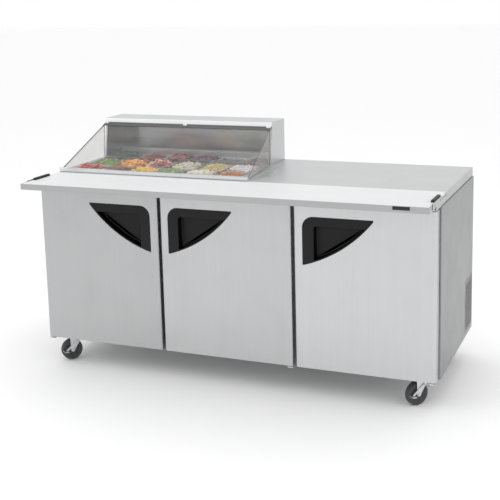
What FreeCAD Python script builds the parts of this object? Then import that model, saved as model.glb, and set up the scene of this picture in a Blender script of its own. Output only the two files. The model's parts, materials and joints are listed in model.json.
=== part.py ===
"""Three-door sandwich prep table: refrigerated cabinet on casters, worktop with a pan well under a clear
hinged lid, full-width cutting board, and the cooling parts inside. Millimetres. The origin is on the floor,
at the centre of the table's width and depth. +X is to the right of someone facing the doors, +Y is to the
back."""
import FreeCAD, Part
import math
import os
import re
import Sketcher
from FreeCAD import Vector

DRIVING = [
    ("overall_width", 1845, "worktop and cabinet, side to side"),
    ("body_depth", 762, "door face to the cabinet's back"),
    ("worktop_height", 893, "floor to worktop"),
    ("worktop_thickness", 41, "folded worktop edge"),
    ("caster_head", 31, "wheel top to the cabinet's underside"),
    ("side_wall", 30, "insulated side panel"),
    ("back_wall", 30, "insulated back panel"),
    ("floor_wall", 30, "insulated cabinet floor"),
    ("door_thickness", 52, "door with its inner panel"),
    ("door_gap", 7, "door back to the cabinet front, filled by the gasket"),
    ("door_side_inset", 8, "outer door edge to the cabinet side"),
    ("mullion_centre", 311, "middle of the gap between two doors, from the table's middle"),
    ("between_doors", 13, "gap between two doors"),
    ("door_lift", 4, "cabinet underside to door bottom"),
    ("door_corner", 10, "rounded upright edges of a door"),
    ("inner_panel", 6, "door's inner panel"),
    ("door_head", 8, "door top to the worktop's underside"),
    ("skin", 1.5, "door skin sheet"),
    ("mullion_width", 62, "front posts"),
    ("frame_depth", 36, "front posts and top rail, front to back"),
    ("rail_drop", 46, "height of the front top rail"),
    ("board_overhang", 149, "front of the board tray to the door faces"),
    ("board_rear", 165, "door faces to the rear edge of the board"),
    ("board_thickness", 12.5, "cutting board"),
    ("board_play", 1, "cutting board to the steel round it"),
    ("top_setback", 24, "door faces to the front of the worktop under the board"),
    ("top_inset", 5, "worktop and board tray end, inside the cabinet's side, where the end brackets sit"),
    ("sheet", 2, "tray and bracket sheet"),
    ("lip_height", 26, "front lip of the board tray"),
    ("display_proud", 2, "display strip in front of the tray lip"),
    ("bracket_rise", 4, "board bracket above the board"),
    ("bracket_sheet", 3, "board bracket plate"),
    ("bracket_front", 95, "door faces forward to the bracket's front edge"),
    ("bracket_back", 70, "door faces back to the bracket's rear edge"),
    ("bracket_step", 65, "bracket's upper front arm, front to back"),
    ("bracket_foot", 4, "worktop's underside to the bracket's foot"),
    ("screw_radius", 5, "bracket screw head"),
    ("screw_head", 2, "height of a bracket screw's head"),
    ("screw_drop", 8, "worktop level to the bracket screws"),
    ("clip_width", 16, "board clip, along the table, with the tray's end"),
    ("clip_length", 116, "board clip, front to back"),
    ("clip_rise", 9, "board clip above the board"),
    ("clip_back", 8, "door faces to the middle of the clip"),
    ("display_width", 68, "display strip"),
    ("display_height", 14, "display strip"),
    ("display_side", 80, "cabinet side to the display strip"),
    ("display_drop", 2, "worktop level to the display strip"),
    ("hood_inset", 17.5, "cabinet side to the hood's left side"),
    ("hood_margin", 18, "pan opening to the hood's right side"),
    ("hood_rise", 202, "worktop to hood top"),
    ("hood_top_depth", 166, "hood's top, front to back"),
    ("hood_foot_depth", 196, "hood's foot, front to back"),
    ("hood_wall", 12, "hood walls"),
    ("fascia_height", 20, "hood's front strip"),
    ("fascia_sheet", 3, "hood's front strip, front to back"),
    ("duct_depth", 24, "last row of pans to the hood's back wall"),
    ("duct_height", 28, "air duct behind the last row of pans"),
    ("lid_inset", 7.5, "cabinet side to the lid's base"),
    ("lid_margin", 63, "pan opening to the right side of the lid's base"),
    ("lid_front", 170, "door faces to the front of the lid's collar"),
    ("collar_height", 4, "raised collar round the pan opening"),
    ("lid_sheet", 4, "clear lid panels"),
    ("lid_foot_inset", 8, "front of the collar to the foot of the clear panel"),
    ("lid_rear_gap", 5, "lid's side panels to the hood"),
    ("lid_rail_height", 15, "steel rail along the lid's front"),
    ("lid_rail_depth", 14, "steel rail along the lid's front"),
    ("lid_rail_proud", 4, "steel rail in front of the collar"),
    ("lid_rod_radius", 4, "lid hinge rod"),
    ("lid_gap", 0.5, "closed lid above its collar"),
    ("pivot_gap", 8, "lid hinge rod in front of the hood"),
    ("pivot_drop", 4, "lid hinge rod below the hood's front strip"),
    ("knuckle_wall", 2, "lid hinge knuckle round its bore"),
    ("glass_start", 12, "lid hinge rod to the clear panel"),
    ("knuckle_width", 22, "lid hinge knuckles"),
    ("knuckle_play", 4, "knuckle to the lugs on the hinge rod"),
    ("running", 0.05, "radial clearance of pins, shafts and rods"),
    ("pan_pitch", 145, "pans, side to side"),
    ("pan_columns", 6, "pans in a row"),
    ("pan_depth", 100, "pan, top to bottom"),
    ("pan_sheet", 1.5, "pan walls"),
    ("pan_front", 190, "door faces to the front of the pan opening"),
    ("pan_inset", 34.5, "cabinet side to the pan opening"),
    ("pan_play", 1, "pan rim to the line between two pans"),
    ("pan_flange", 6, "width of a pan's side rim, with its play"),
    ("rest_bar", 8, "bars that carry the pan rims, front to back"),
    ("rest_height", 12, "bars that carry the pan rims, top to bottom"),
    ("seat_gap", 0.5, "pan wall to the bars that carry its rim"),
    ("air_bar", 24, "gap for the raised bar with air slots between the second and third row"),
    ("air_rise", 16, "raised bar above the worktop"),
    ("air_slot", 38, "air slot, along the table"),
    ("air_pitch", 66, "air slots, side to side"),
    ("air_start", 14, "end of the raised bar to its first slot"),
    ("air_web", 4, "metal above and below an air slot"),
    ("well_depth", 115, "underside of the worktop to the floor of the pan well"),
    ("handle_width", 304, "recessed handle, along the door's top"),
    ("handle_height", 207, "recessed handle, down the door's edge"),
    ("handle_side", 37, "door edge to the handle"),
    ("handle_top", 51, "door top to the handle"),
    ("handle_depth", 34, "depth of the hand pocket"),
    ("handle_corner", 48, "handle's rounded outer corner"),
    ("handle_tip", 7, "blunt ends of the handle's bowed edge"),
    ("handle_bow", 590, "radius of the handle's bowed edge"),
    ("pocket_top", 40, "handle's top to the pocket"),
    ("pocket_side", 50, "handle's side to the pocket"),
    ("pocket_lip", 5, "rim between the pocket and the bowed edge"),
    ("pocket_corner", 12, "pocket's rounded corner"),
    ("cup_wall", 3, "handle wall"),
    ("hinge_inset", 14, "hinge pin from the door's edge and from its face"),
    ("hinge_radius", 4, "hinge pin"),
    ("hinge_plate", 5, "thickness of the lower hinge plate"),
    ("hinge_leaf", 12, "half the width of a hinge plate"),
    ("hinge_grip", 18, "hinge pin inside the door"),
    ("hinge_root", 2, "upper hinge pin inside its plate"),
    ("hinge_front", 2, "door faces to the hinge plates"),
    ("hinge_bore", 24, "depth of the bore for a hinge pin"),
    ("hinge_head_gap", 3, "door top to the upper hinge plate"),
    ("gasket_inset", 10, "door's edge to the gasket"),
    ("gasket_width", 12, "gasket, seen from the front"),
    ("gasket_gap", 0.5, "closed gasket to the cabinet"),
    ("machine_depth", 172, "machine compartment, front to back"),
    ("machine_height", 240, "cabinet floor to the machine deck"),
    ("bulkhead", 30, "insulated wall and deck of the machine compartment"),
    ("shelf_height", 230, "cabinet floor to the shelves"),
    ("shelf_wire", 5, "shelf wire"),
    ("shelf_pitch", 32, "widest spacing of the shelf wires"),
    ("shelf_play", 8, "shelf to the side panels and the front posts"),
    ("shelf_between", 5, "shelf's end to the middle of a front post"),
    ("clip_high", 12, "shelf clip, top to bottom"),
    ("clip_deep", 20, "shelf clips at the front, front to back"),
    ("clip_set", 4, "front posts to the shelf clips on the sides"),
    ("clip_side", 22, "shelf clips on the sides, along the table"),
    ("clip_post", 14, "shelf clips on the front posts, along the table"),
    ("clip_wide", 18, "shelf clips on the machine housing, both ways"),
    ("clip_in", 7, "shelf's end to the shelf clips on the machine housing"),
    ("wheel_radius", 50, "caster wheel"),
    ("wheel_width", 30, "caster wheel"),
    ("caster_inset", 87.5, "cabinet side to the caster pivots"),
    ("front_caster", 110, "door faces to the front caster pivots"),
    ("rear_caster", 90, "cabinet back to the rear caster pivots"),
    ("wheel_hub", 16, "wheel hub radius"),
    ("web_step", 4, "wheel's web, behind its tread"),
    ("tread", 13, "wheel tread, from its rim inwards"),
    ("tread_round", 6, "rounded edges of the tread"),
    ("caster_trail", 28, "caster pivot to wheel axle"),
    ("crown_gap", 5, "wheel to the fork's crown"),
    ("fork_gap", 2, "wheel to the fork's legs"),
    ("fork_sheet", 3, "fork legs"),
    ("lever_stud", 3, "radius of the brake lever's stud"),
    ("lever_drop", 12, "wheel top to the brake lever's stud"),
    ("lever_ahead", 4, "caster pivot to the brake lever's stud"),
    ("caster_plate", 6, "caster top plate"),
    ("stub_radius", 8, "caster pivot stub"),
    ("axle_radius", 5, "caster axle"),
    ("fan_radius", 62, "both fans"),
    ("fan_hub", 14, "fan hub radius"),
    ("fan_length", 20, "fan hub length"),
    ("fan_shaft", 3, "fan shaft radius"),
    ("vent_width", 169, "side vent grille"),
    ("vent_height", 240, "side vent grille"),
    ("vent_back", 8, "cabinet back to the grille"),
    ("vent_rise", 24, "cabinet underside to the grille"),
    ("vent_plate", 3, "grille sheet"),
    ("vent_margin", 9, "grille edge to its first slots"),
    ("vent_slot", 17, "grille slot, front to back"),
    ("vent_slot_high", 4, "grille slot, top to bottom"),
    ("vent_pitch", 24, "grille slots, front to back"),
    ("vent_row", 9, "grille rows, one above the other"),
    ("inlet_width", 34, "power inlet"),
    ("inlet_height", 28, "power inlet"),
    ("inlet_wall", 4, "power inlet's case"),
    ("inlet_mouth", 18, "depth of the power inlet's mouth"),
    ("inlet_inset", 48.5, "right side panel to the power inlet"),
    ("inlet_rise", 180, "cabinet underside to the power inlet"),
    ("back_slot_inset", 132.5, "right side panel to the slots in the back"),
    ("back_slot", 460, "slots in the back, along the table"),
    ("back_slot_high", 10, "slots in the back, top to bottom"),
    ("back_slot_pitch", 22, "slots in the back, one above the other"),
    ("back_slot_start", 30, "cabinet floor to the lowest slot in the back"),
    ("coil_inset", 131.5, "right side panel to the evaporator"),
    ("coil_width", 360, "evaporator, along the table"),
    ("coil_depth", 92, "evaporator, front to back"),
    ("coil_height", 190, "evaporator, top to bottom"),
    ("coil_plate", 10, "top and bottom plates of the coils"),
    ("fin", 4, "coil fin"),
    ("fin_end", 6, "coil end to its first fin"),
    ("condenser_height", 196, "condenser, top to bottom"),
    ("condenser_depth", 36, "condenser, along the table"),
    ("condenser_gap", 10, "condenser to the side panel"),
    ("motor_radius", 20, "evaporator fan's motor"),
    ("motor_length", 18, "evaporator fan's motor"),
    ("fan_ahead", 30, "evaporator to the rear of its fan"),
    ("shaft_length", 44, "shaft of either fan"),
    ("shaft_seat", 2, "fan shaft inside its motor"),
    ("blower_radius", 24, "condenser fan's motor"),
    ("blower_length", 40, "condenser fan's motor"),
    ("blower_inset", 160, "side panel to the condenser fan's motor"),
    ("blower_fan_gap", 12, "condenser fan's motor to its fan"),
    ("post_width", 28, "post under the condenser fan's motor, along the table"),
    ("post_depth", 24, "post under the condenser fan's motor, front to back"),
    ("compressor_inset", 320, "side panel to the compressor's middle"),
    ("shell_radius", 60, "compressor shell"),
    ("shell_low", 14, "cabinet floor to the compressor shell"),
    ("shell_bevel", 6, "compressor shell's lower edge, across"),
    ("shell_foot", 26, "cabinet floor to the shell's straight wall"),
    ("shell_shoulder", 120, "cabinet floor to the shell's dome"),
    ("shell_top", 165, "cabinet floor to the compressor's top"),
    ("shell_crown", 20, "flat top of the dome"),
    ("shell_dome", 62, "radius of the dome's section"),
    ("base_length", 150, "compressor's base plate, along the table"),
    ("base_width", 136, "compressor's base plate, front to back"),
    ("base_sheet", 5, "compressor's base plate"),
    ("foot_radius", 9, "compressor's feet"),
    ("foot_height", 10, "compressor's feet"),
    ("foot_inset", 15, "end of the base plate to the middle of a foot"),
    ("bay_gap", 8, "coils to the walls behind them"),
]

doc = FreeCAD.newDocument("PrepTable")
dims = doc.addObject("Spreadsheet::Sheet", "Dims")
for row, (alias, size, note) in enumerate(DRIVING, start=1):
    dims.set("A%d" % row, note)
    dims.set("B%d" % row, str(size))
    dims.setAlias("B%d" % row, alias)
doc.recompute()
ALIASES = {alias for alias, _, _ in DRIVING}
WORD = re.compile(r"[a-z][a-z_]*[a-z]")
NODES = []

# Places that many pieces share, as expressions in the sheet's names.
SIDE = "(overall_width / 2)"
INNER = f"({SIDE} - side_wall)"
TOP_END = f"({SIDE} - top_inset)"
FACE = "((board_overhang - body_depth) / 2)"
BACK = "((board_overhang + body_depth) / 2)"
CAB_FRONT = f"({FACE} + door_thickness + door_gap)"
UNDER_TOP = "(worktop_height - worktop_thickness)"
CAB_BOTTOM = "(2 * wheel_radius + caster_head)"
FLOOR_TOP = f"({CAB_BOTTOM} + floor_wall)"
BACK_INNER = f"({BACK} - back_wall)"
DOOR_BOTTOM = f"({CAB_BOTTOM} + door_lift)"
DOOR_TOP = f"({UNDER_TOP} - door_head)"
LEDGE = "(worktop_height - board_thickness - sheet)"
DECK = f"({FLOOR_TOP} + machine_height)"
BULK_FRONT = f"({BACK_INNER} - machine_depth - bulkhead)"
PAN_Y = f"({FACE} + pan_front)"
PAN_END = f"({BACK} - hood_wall - duct_depth)"
PAN_ROW = f"(({PAN_END} - {PAN_Y} - rest_bar - air_bar) / 3)"
PAN_X = f"(pan_inset - {SIDE})"
PAN_X_END = f"({PAN_X} + pan_columns * pan_pitch)"
AIR_Y = f"({PAN_Y} + 2 * {PAN_ROW} + rest_bar)"
HOOD_X = f"(hood_inset - {SIDE})"
HOOD_X_END = f"({PAN_X_END} + hood_margin)"
HOOD_TOP_Y = f"({BACK} - hood_top_depth)"
HOOD_FOOT_Y = f"({BACK} - hood_foot_depth)"
LID_X = f"(lid_inset - {SIDE})"
LID_X_END = f"({PAN_X_END} + lid_margin)"
COLLAR_TOP = "(worktop_height + collar_height)"
VENT_Y = f"({BACK} - vent_width - vent_back)"
VENT_Z = f"({CAB_BOTTOM} + vent_rise)"
INLET_X = f"({INNER} - inlet_inset - inlet_width)"
INLET_Z = f"({CAB_BOTTOM} + inlet_rise)"
INLET_SPAN = (INLET_Z, f"{INLET_Z} + inlet_height")
BACK_SLOTS = 5


def bound(text):
    """The expression with each name looked up in the sheet."""
    return WORD.sub(lambda m: "Dims." + m.group() if m.group() in ALIASES else m.group(), str(text))


def dim(alias):
    """A driving dimension as a number, for shapes worked out in code."""
    return float(dims.get(alias))


def bind(obj, **properties):
    """Bind properties to expressions; a double underscore stands for a dot."""
    for name, text in properties.items():
        obj.setExpression(name.replace("__", "."), bound(text))
    return obj


def place(obj, at):
    """Bind an object's position to three expressions."""
    return bind(obj, Placement__Base__x=at[0], Placement__Base__y=at[1], Placement__Base__z=at[2])


def box(name, x, y, z):
    """A block between two expressions along each axis."""
    obj = doc.addObject("Part::Box", name)
    bind(obj, Length=f"({x[1]}) - ({x[0]})", Width=f"({y[1]}) - ({y[0]})", Height=f"({z[1]}) - ({z[0]})")
    return place(obj, (x[0], y[0], z[0]))


TURNS = {
    "X": FreeCAD.Rotation(Vector(0, 1, 0), 90),
    "Y": FreeCAD.Rotation(Vector(1, 0, 0), -90),
    "Z": FreeCAD.Rotation(),
}


def rod(name, radius, length, at, along="Z"):
    """A cylinder from a point along an axis."""
    obj = doc.addObject("Part::Cylinder", name)
    obj.Placement = FreeCAD.Placement(Vector(), TURNS[along])
    bind(obj, Radius=radius, Height=length)
    return place(obj, at)


def joined(name, pieces):
    """Several pieces as one object: touching ones become one solid."""
    obj = doc.addObject("Part::MultiFuse", name)
    obj.Shapes = pieces
    return obj


def cut(name, base, tools):
    """A piece with other pieces taken away."""
    obj = doc.addObject("Part::Cut", name)
    obj.Base = base
    obj.Tool = tools[0] if len(tools) == 1 else joined(name + "_tools", tools)
    return obj


def node(obj, label):
    """Name a finished sub-part and list it for export."""
    obj.Label = label
    NODES.append(obj)
    return obj


def computed(label, shape, placement=None):
    """A sub-part whose shape is worked out in code from the sheet's sizes, then placed."""
    obj = doc.addObject("Part::Feature", label + "_shape")
    obj.Shape = shape
    obj.Placement = placement or FreeCAD.Placement()
    return node(obj, label)


def plane(body, role):
    return next(f for f in body.Origin.OriginFeatures if f.Role == role)


def new_body(name, at=None, turn="0"):
    """An empty body at a bound place, turned about the vertical."""
    body = doc.addObject("PartDesign::Body", name)
    if at:
        place(body, at)
    if turn != "0":
        bind(body, Placement__Rotation__Angle=turn)
    return body


def new_sketch(body, name, role, offset="0"):
    """A sketch on one of the body's own origin planes, moved along that plane's normal."""
    sketch = body.newObject("Sketcher::SketchObject", name)
    sketch.AttachmentSupport = [(plane(body, role), "")]
    sketch.MapMode = "FlatFace"
    if offset != "0":
        bind(sketch, AttachmentOffset__Base__z=offset)
    return sketch


def tie(sketch, kind, args, value, text):
    """A dimensional constraint whose value is an expression."""
    n = sketch.addConstraint(Sketcher.Constraint(kind, *args, value))
    sketch.setExpression(f"Constraints[{n}]", bound(text))


def number(text):
    """A first guess of an expression's value, from the sheet."""
    probe = doc.getObject("Probe") or doc.addObject("App::FeaturePython", "Probe")
    if not hasattr(probe, "Value"):
        probe.addProperty("App::PropertyFloat", "Value")
    probe.setExpression("Value", bound(text))
    probe.recompute()
    return probe.Value


def outline(body, name, role, corners, arcs=None, offset="0"):
    """A closed sketch through corners given as expressions, each corner dimensioned from the sketch's origin.
    The corners run counter-clockwise. arcs gives an edge's radius, and 1 where it bulges out, -1 where in."""
    arcs = arcs or {}
    sketch = new_sketch(body, name, role, offset)
    guess = [Vector(number(x), number(y), 0) for x, y in corners]
    count = len(corners)
    ends = {}
    for i in range(count):
        a, b = guess[i], guess[(i + 1) % count]
        ends[i] = (1, 2)
        if i in arcs:
            radius, way = arcs[i]
            half = (b - a).Length / 2
            rise = number(radius) - math.sqrt(number(radius) ** 2 - half**2)
            across = Vector(b.y - a.y, a.x - b.x, 0).normalize()
            sketch.addGeometry(Part.Arc(a, (a + b) * 0.5 + across * (rise * way), b), False)
            if way < 0:
                ends[i] = (2, 1)
        else:
            sketch.addGeometry(Part.LineSegment(a, b), False)
    for i in range(count):
        j = (i + 1) % count
        sketch.addConstraint(Sketcher.Constraint("Coincident", i, ends[i][1], j, ends[j][0]))
    for i, corner in enumerate(corners):
        for kind, text, value in zip(("DistanceX", "DistanceY"), corner, guess[i]):
            if abs(value) < 1e-9:
                axis = -2 if kind == "DistanceX" else -1
                sketch.addConstraint(Sketcher.Constraint("PointOnObject", i, ends[i][0], axis))
            else:
                tie(sketch, kind, (-1, 1, i, ends[i][0]), value, text)
    for i, (radius, _) in arcs.items():
        tie(sketch, "Radius", (i,), number(radius), radius)
    return sketch


def circles(body, name, role, holes, offset="0"):
    """A sketch of circles, each given by its centre and radius as expressions."""
    sketch = new_sketch(body, name, role, offset)
    for i, (x, y, radius) in enumerate(holes):
        centre = Vector(number(x), number(y), 0)
        sketch.addGeometry(Part.Circle(centre, Vector(0, 0, 1), number(radius)), False)
        tie(sketch, "Radius", (i,), number(radius), radius)
        for kind, text, value in zip(("DistanceX", "DistanceY"), (x, y), centre):
            if abs(value) < 1e-9:
                axis = -2 if kind == "DistanceX" else -1
                sketch.addConstraint(Sketcher.Constraint("PointOnObject", i, 3, axis))
            else:
                tie(sketch, kind, (-1, 1, i, 3), value, text)
    return sketch


def pad(body, sketch, length, reverse=False):
    """Thicken a sketch."""
    feature = body.newObject("PartDesign::Pad", sketch.Name + "Pad")
    feature.Profile = sketch
    feature.Reversed = reverse
    bind(feature, Length=length)
    return feature


def pocket(body, sketch, length, reverse=False):
    """Cut a sketch into the body, away from the sketch's normal unless reversed; it must remove material."""
    before = body.Shape.Volume if not body.Shape.isNull() else 0
    feature = body.newObject("PartDesign::Pocket", sketch.Name + "Pocket")
    feature.Profile = sketch
    feature.Reversed = reverse
    bind(feature, Length=length)
    doc.recompute()
    if before and body.Shape.Volume > before - 1:
        raise RuntimeError(sketch.Name + " cut nothing")
    return feature


def rectangle(body, name, role, x, y, offset="0"):
    """A rectangular sketch between two expressions each way."""
    corners = [(x[0], y[0]), (x[1], y[0]), (x[1], y[1]), (x[0], y[1])]
    return outline(body, name, role, corners, offset=offset)


# Cabinet ---------------------------------------------------------------------------------------------------

def cabinet():
    """Insulated panels, front posts and the compartment for the cooling machine."""
    up = (CAB_BOTTOM, UNDER_TOP)
    node(box("LeftSide", (f"-{SIDE}", f"-{INNER}"), (CAB_FRONT, BACK), up), "left_side_panel")
    right = new_body("RightSide", (INNER, CAB_FRONT, CAB_BOTTOM))
    deep, tall = ("0", f"{BACK} - {CAB_FRONT}"), ("0", f"{UNDER_TOP} - {CAB_BOTTOM}")
    pad(right, rectangle(right, "RightPanel", "YZ_Plane", deep, tall), "side_wall")
    doc.recompute()
    vent_y = (f"{VENT_Y} - {CAB_FRONT}", f"{VENT_Y} + vent_width - {CAB_FRONT}")
    vent_z = ("vent_rise", "vent_rise + vent_height")
    hole = rectangle(right, "VentHole", "YZ_Plane", vent_y, vent_z, offset="side_wall")
    pocket(right, hole, "side_wall")
    node(right, "right_side_panel")
    across = (f"-{INNER}", INNER)
    back = box("Back", across, (BACK_INNER, BACK), up)
    through = (BACK_INNER, BACK)
    tools = [box("InletHole", (INLET_X, f"{INLET_X} + inlet_width"), through, INLET_SPAN)]
    slot_end = f"{INNER} - back_slot_inset"
    for i in range(BACK_SLOTS):
        low = f"{FLOOR_TOP} + back_slot_start + {i} * back_slot_pitch"
        slot = (f"{slot_end} - back_slot", slot_end)
        tools.append(box(f"BackSlot{i}", slot, through, (low, f"{low} + back_slot_high")))
    node(cut("BackPanel", back, tools), "back_panel")
    node(box("Floor", across, (CAB_FRONT, BACK_INNER), (CAB_BOTTOM, FLOOR_TOP)), "cabinet_floor")
    frame = (CAB_FRONT, f"{CAB_FRONT} + frame_depth")
    node(box("TopRail", across, frame, (f"{UNDER_TOP} - rail_drop", UNDER_TOP)), "front_top_rail")
    posts = [
        box(
            f"Post{i}",
            (f"{side} * mullion_centre - mullion_width / 2", f"{side} * mullion_centre + mullion_width / 2"),
            frame,
            (FLOOR_TOP, f"{UNDER_TOP} - rail_drop"),
        )
        for i, side in enumerate((-1, 1))
    ]
    node(joined("Mullions", posts), "mullions")
    wall_y, wall_z = (BULK_FRONT, f"{BULK_FRONT} + bulkhead"), (FLOOR_TOP, f"{DECK} + bulkhead")
    wall = box("Bulkhead", across, wall_y, wall_z)
    deck = box("Deck", across, (f"{BULK_FRONT} + bulkhead", BACK_INNER), (DECK, f"{DECK} + bulkhead"))
    node(joined("MachineHousing", [wall, deck]), "machine_housing")
    grille()


def grille():
    """Flush side grille: a plate with rows of short slots, every other row moved half a pitch."""
    body = new_body("Grille", (f"{SIDE} - vent_plate", VENT_Y, VENT_Z))
    sheet = rectangle(body, "GrillePlate", "YZ_Plane", ("0", "vent_width"), ("0", "vent_height"))
    pad(body, sheet, "vent_plate")
    doc.recompute()
    run = "floor((vent_width - 2 * vent_margin - vent_pitch / 2 - vent_slot) / vent_pitch)"
    rise = "floor((vent_height - 2 * vent_margin - vent_row - vent_slot_high) / (2 * vent_row))"
    for odd in (0, 1):
        start = f"vent_margin + {odd} * vent_pitch / 2"
        low = f"vent_margin + {odd} * vent_row"
        x, y = (start, f"{start} + vent_slot"), (low, f"{low} + vent_slot_high")
        slot = rectangle(body, f"Slot{odd}", "YZ_Plane", x, y, offset="vent_plate")
        grid = body.newObject("PartDesign::MultiTransform", f"SlotGrid{odd}")
        grid.Originals = [pocket(body, slot, "vent_plate")]
        row = body.newObject("PartDesign::LinearPattern", f"Along{odd}")
        row.Direction = (slot, ["H_Axis"])
        bind(row, Length=f"{run} * vent_pitch", Occurrences=f"{run} + 1")
        column = body.newObject("PartDesign::LinearPattern", f"Up{odd}")
        column.Direction = (slot, ["V_Axis"])
        bind(column, Length=f"{rise} * 2 * vent_row", Occurrences=f"{rise} + 1")
        grid.Transformations = [row, column]
        body.Tip = grid
        doc.recompute()
    node(body, "vent_grille")


# Worktop, pans and board -----------------------------------------------------------------------------------


def worktop():
    """Folded steel top with a lower front ledge for the board and the cut-out for the pans."""
    body = new_body("Worktop", (f"-{TOP_END}", FACE, UNDER_TOP))
    ledge = f"{LEDGE} - {UNDER_TOP}"
    step = "board_rear + board_play"
    corners = [
        ("top_setback", "0"),
        ("body_depth", "0"),
        ("body_depth", "worktop_thickness"),
        (step, "worktop_thickness"),
        (step, ledge),
        ("top_setback", ledge),
    ]
    pad(body, outline(body, "TopSection", "YZ_Plane", corners), f"2 * {TOP_END}")
    doc.recompute()
    hole = rectangle(
        body,
        "PanHole",
        "XY_Plane",
        (f"{TOP_END} + {PAN_X}", f"{TOP_END} + {PAN_X_END}"),
        ("pan_front", f"{PAN_END} - {FACE}"),
        offset="worktop_thickness",
    )
    pocket(body, hole, "worktop_thickness")
    node(body, "worktop")


def pan_well():
    """Tub under the cut-out, the bars that carry the pans, and the raised air bar."""
    across = (PAN_X, PAN_X_END)
    bottom = f"{UNDER_TOP} - well_depth"
    wide = (f"{PAN_X} - sheet", f"{PAN_X_END} + sheet")
    deep = (f"{PAN_Y} - sheet", f"{PAN_END} + sheet")
    tub = box("WellOuter", wide, deep, (bottom, UNDER_TOP))
    hollow = box("WellInner", across, (PAN_Y, PAN_END), (f"{bottom} + sheet", UNDER_TOP))
    node(cut("PanWell", tub, [hollow]), "pan_well")
    high = ("worktop_height - rest_height", "worktop_height")
    spans = [
        (PAN_Y, f"{PAN_Y} + rest_bar"),
        (f"{PAN_Y} + {PAN_ROW} - rest_bar", f"{PAN_Y} + {PAN_ROW} + 2 * rest_bar"),
        (f"{AIR_Y} - rest_bar", f"{AIR_Y} + air_bar + rest_bar"),
        (f"{PAN_END} - rest_bar", PAN_END),
    ]
    bars = [box(f"Rest{i}", across, span, high) for i, span in enumerate(spans)]
    node(joined("PanRests", bars), "pan_rest_bars")
    span = (f"{AIR_Y} + pan_play", f"{AIR_Y} + air_bar - pan_play")
    bar = box("AirBar", across, span, ("worktop_height", "worktop_height + air_rise"))
    slots = []
    gap = ("worktop_height + air_web", "worktop_height + air_rise - air_web")
    count = int(number("(pan_columns * pan_pitch - air_start - air_slot) / air_pitch")) + 1
    for i in range(count):
        start = f"{PAN_X} + air_start + {i} * air_pitch"
        slots.append(box(f"AirSlot{i}", (start, f"{start} + air_slot"), span, gap))
    node(cut("AirDivider", bar, slots), "air_divider")


def pan(name, column, front):
    """One food pan: a rim, four walls and a floor."""
    left = f"{PAN_X} + {column} * pan_pitch"
    right = f"{left} + pan_pitch"
    back = f"{front} + {PAN_ROW}"
    rim_top = "worktop_height + pan_sheet"
    bottom = "worktop_height - pan_depth"
    x = (f"{left} + pan_play", f"{right} - pan_play")
    y = (f"{front} + pan_play", f"{back} - pan_play")
    rim = box(name + "Rim", x, y, ("worktop_height", rim_top))
    x = (f"{left} + pan_flange", f"{right} - pan_flange")
    y = (f"{front} + rest_bar + seat_gap", f"{back} - rest_bar - seat_gap")
    tub = box(name + "Tub", x, y, (bottom, "worktop_height"))
    x = (f"{x[0]} + pan_sheet", f"{x[1]} - pan_sheet")
    y = (f"{y[0]} + pan_sheet", f"{y[1]} - pan_sheet")
    hollow = box(name + "Hollow", x, y, (f"{bottom} + pan_sheet", rim_top))
    return cut(name, joined(name + "Blank", [rim, tub]), [hollow])


def pans():
    """Three rows of food pans, each row one sub-part of separate pans."""
    fronts = [PAN_Y, f"{PAN_Y} + {PAN_ROW} + rest_bar", f"{AIR_Y} + air_bar"]
    columns = range(int(dim("pan_columns")))
    for label, front in zip(("front_pans", "middle_pans", "rear_pans"), fronts):
        row = [pan(f"{label.title().replace('_', '')}{i}", i, front) for i in columns]
        node(joined(label.title().replace("_", ""), row), label)


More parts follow.
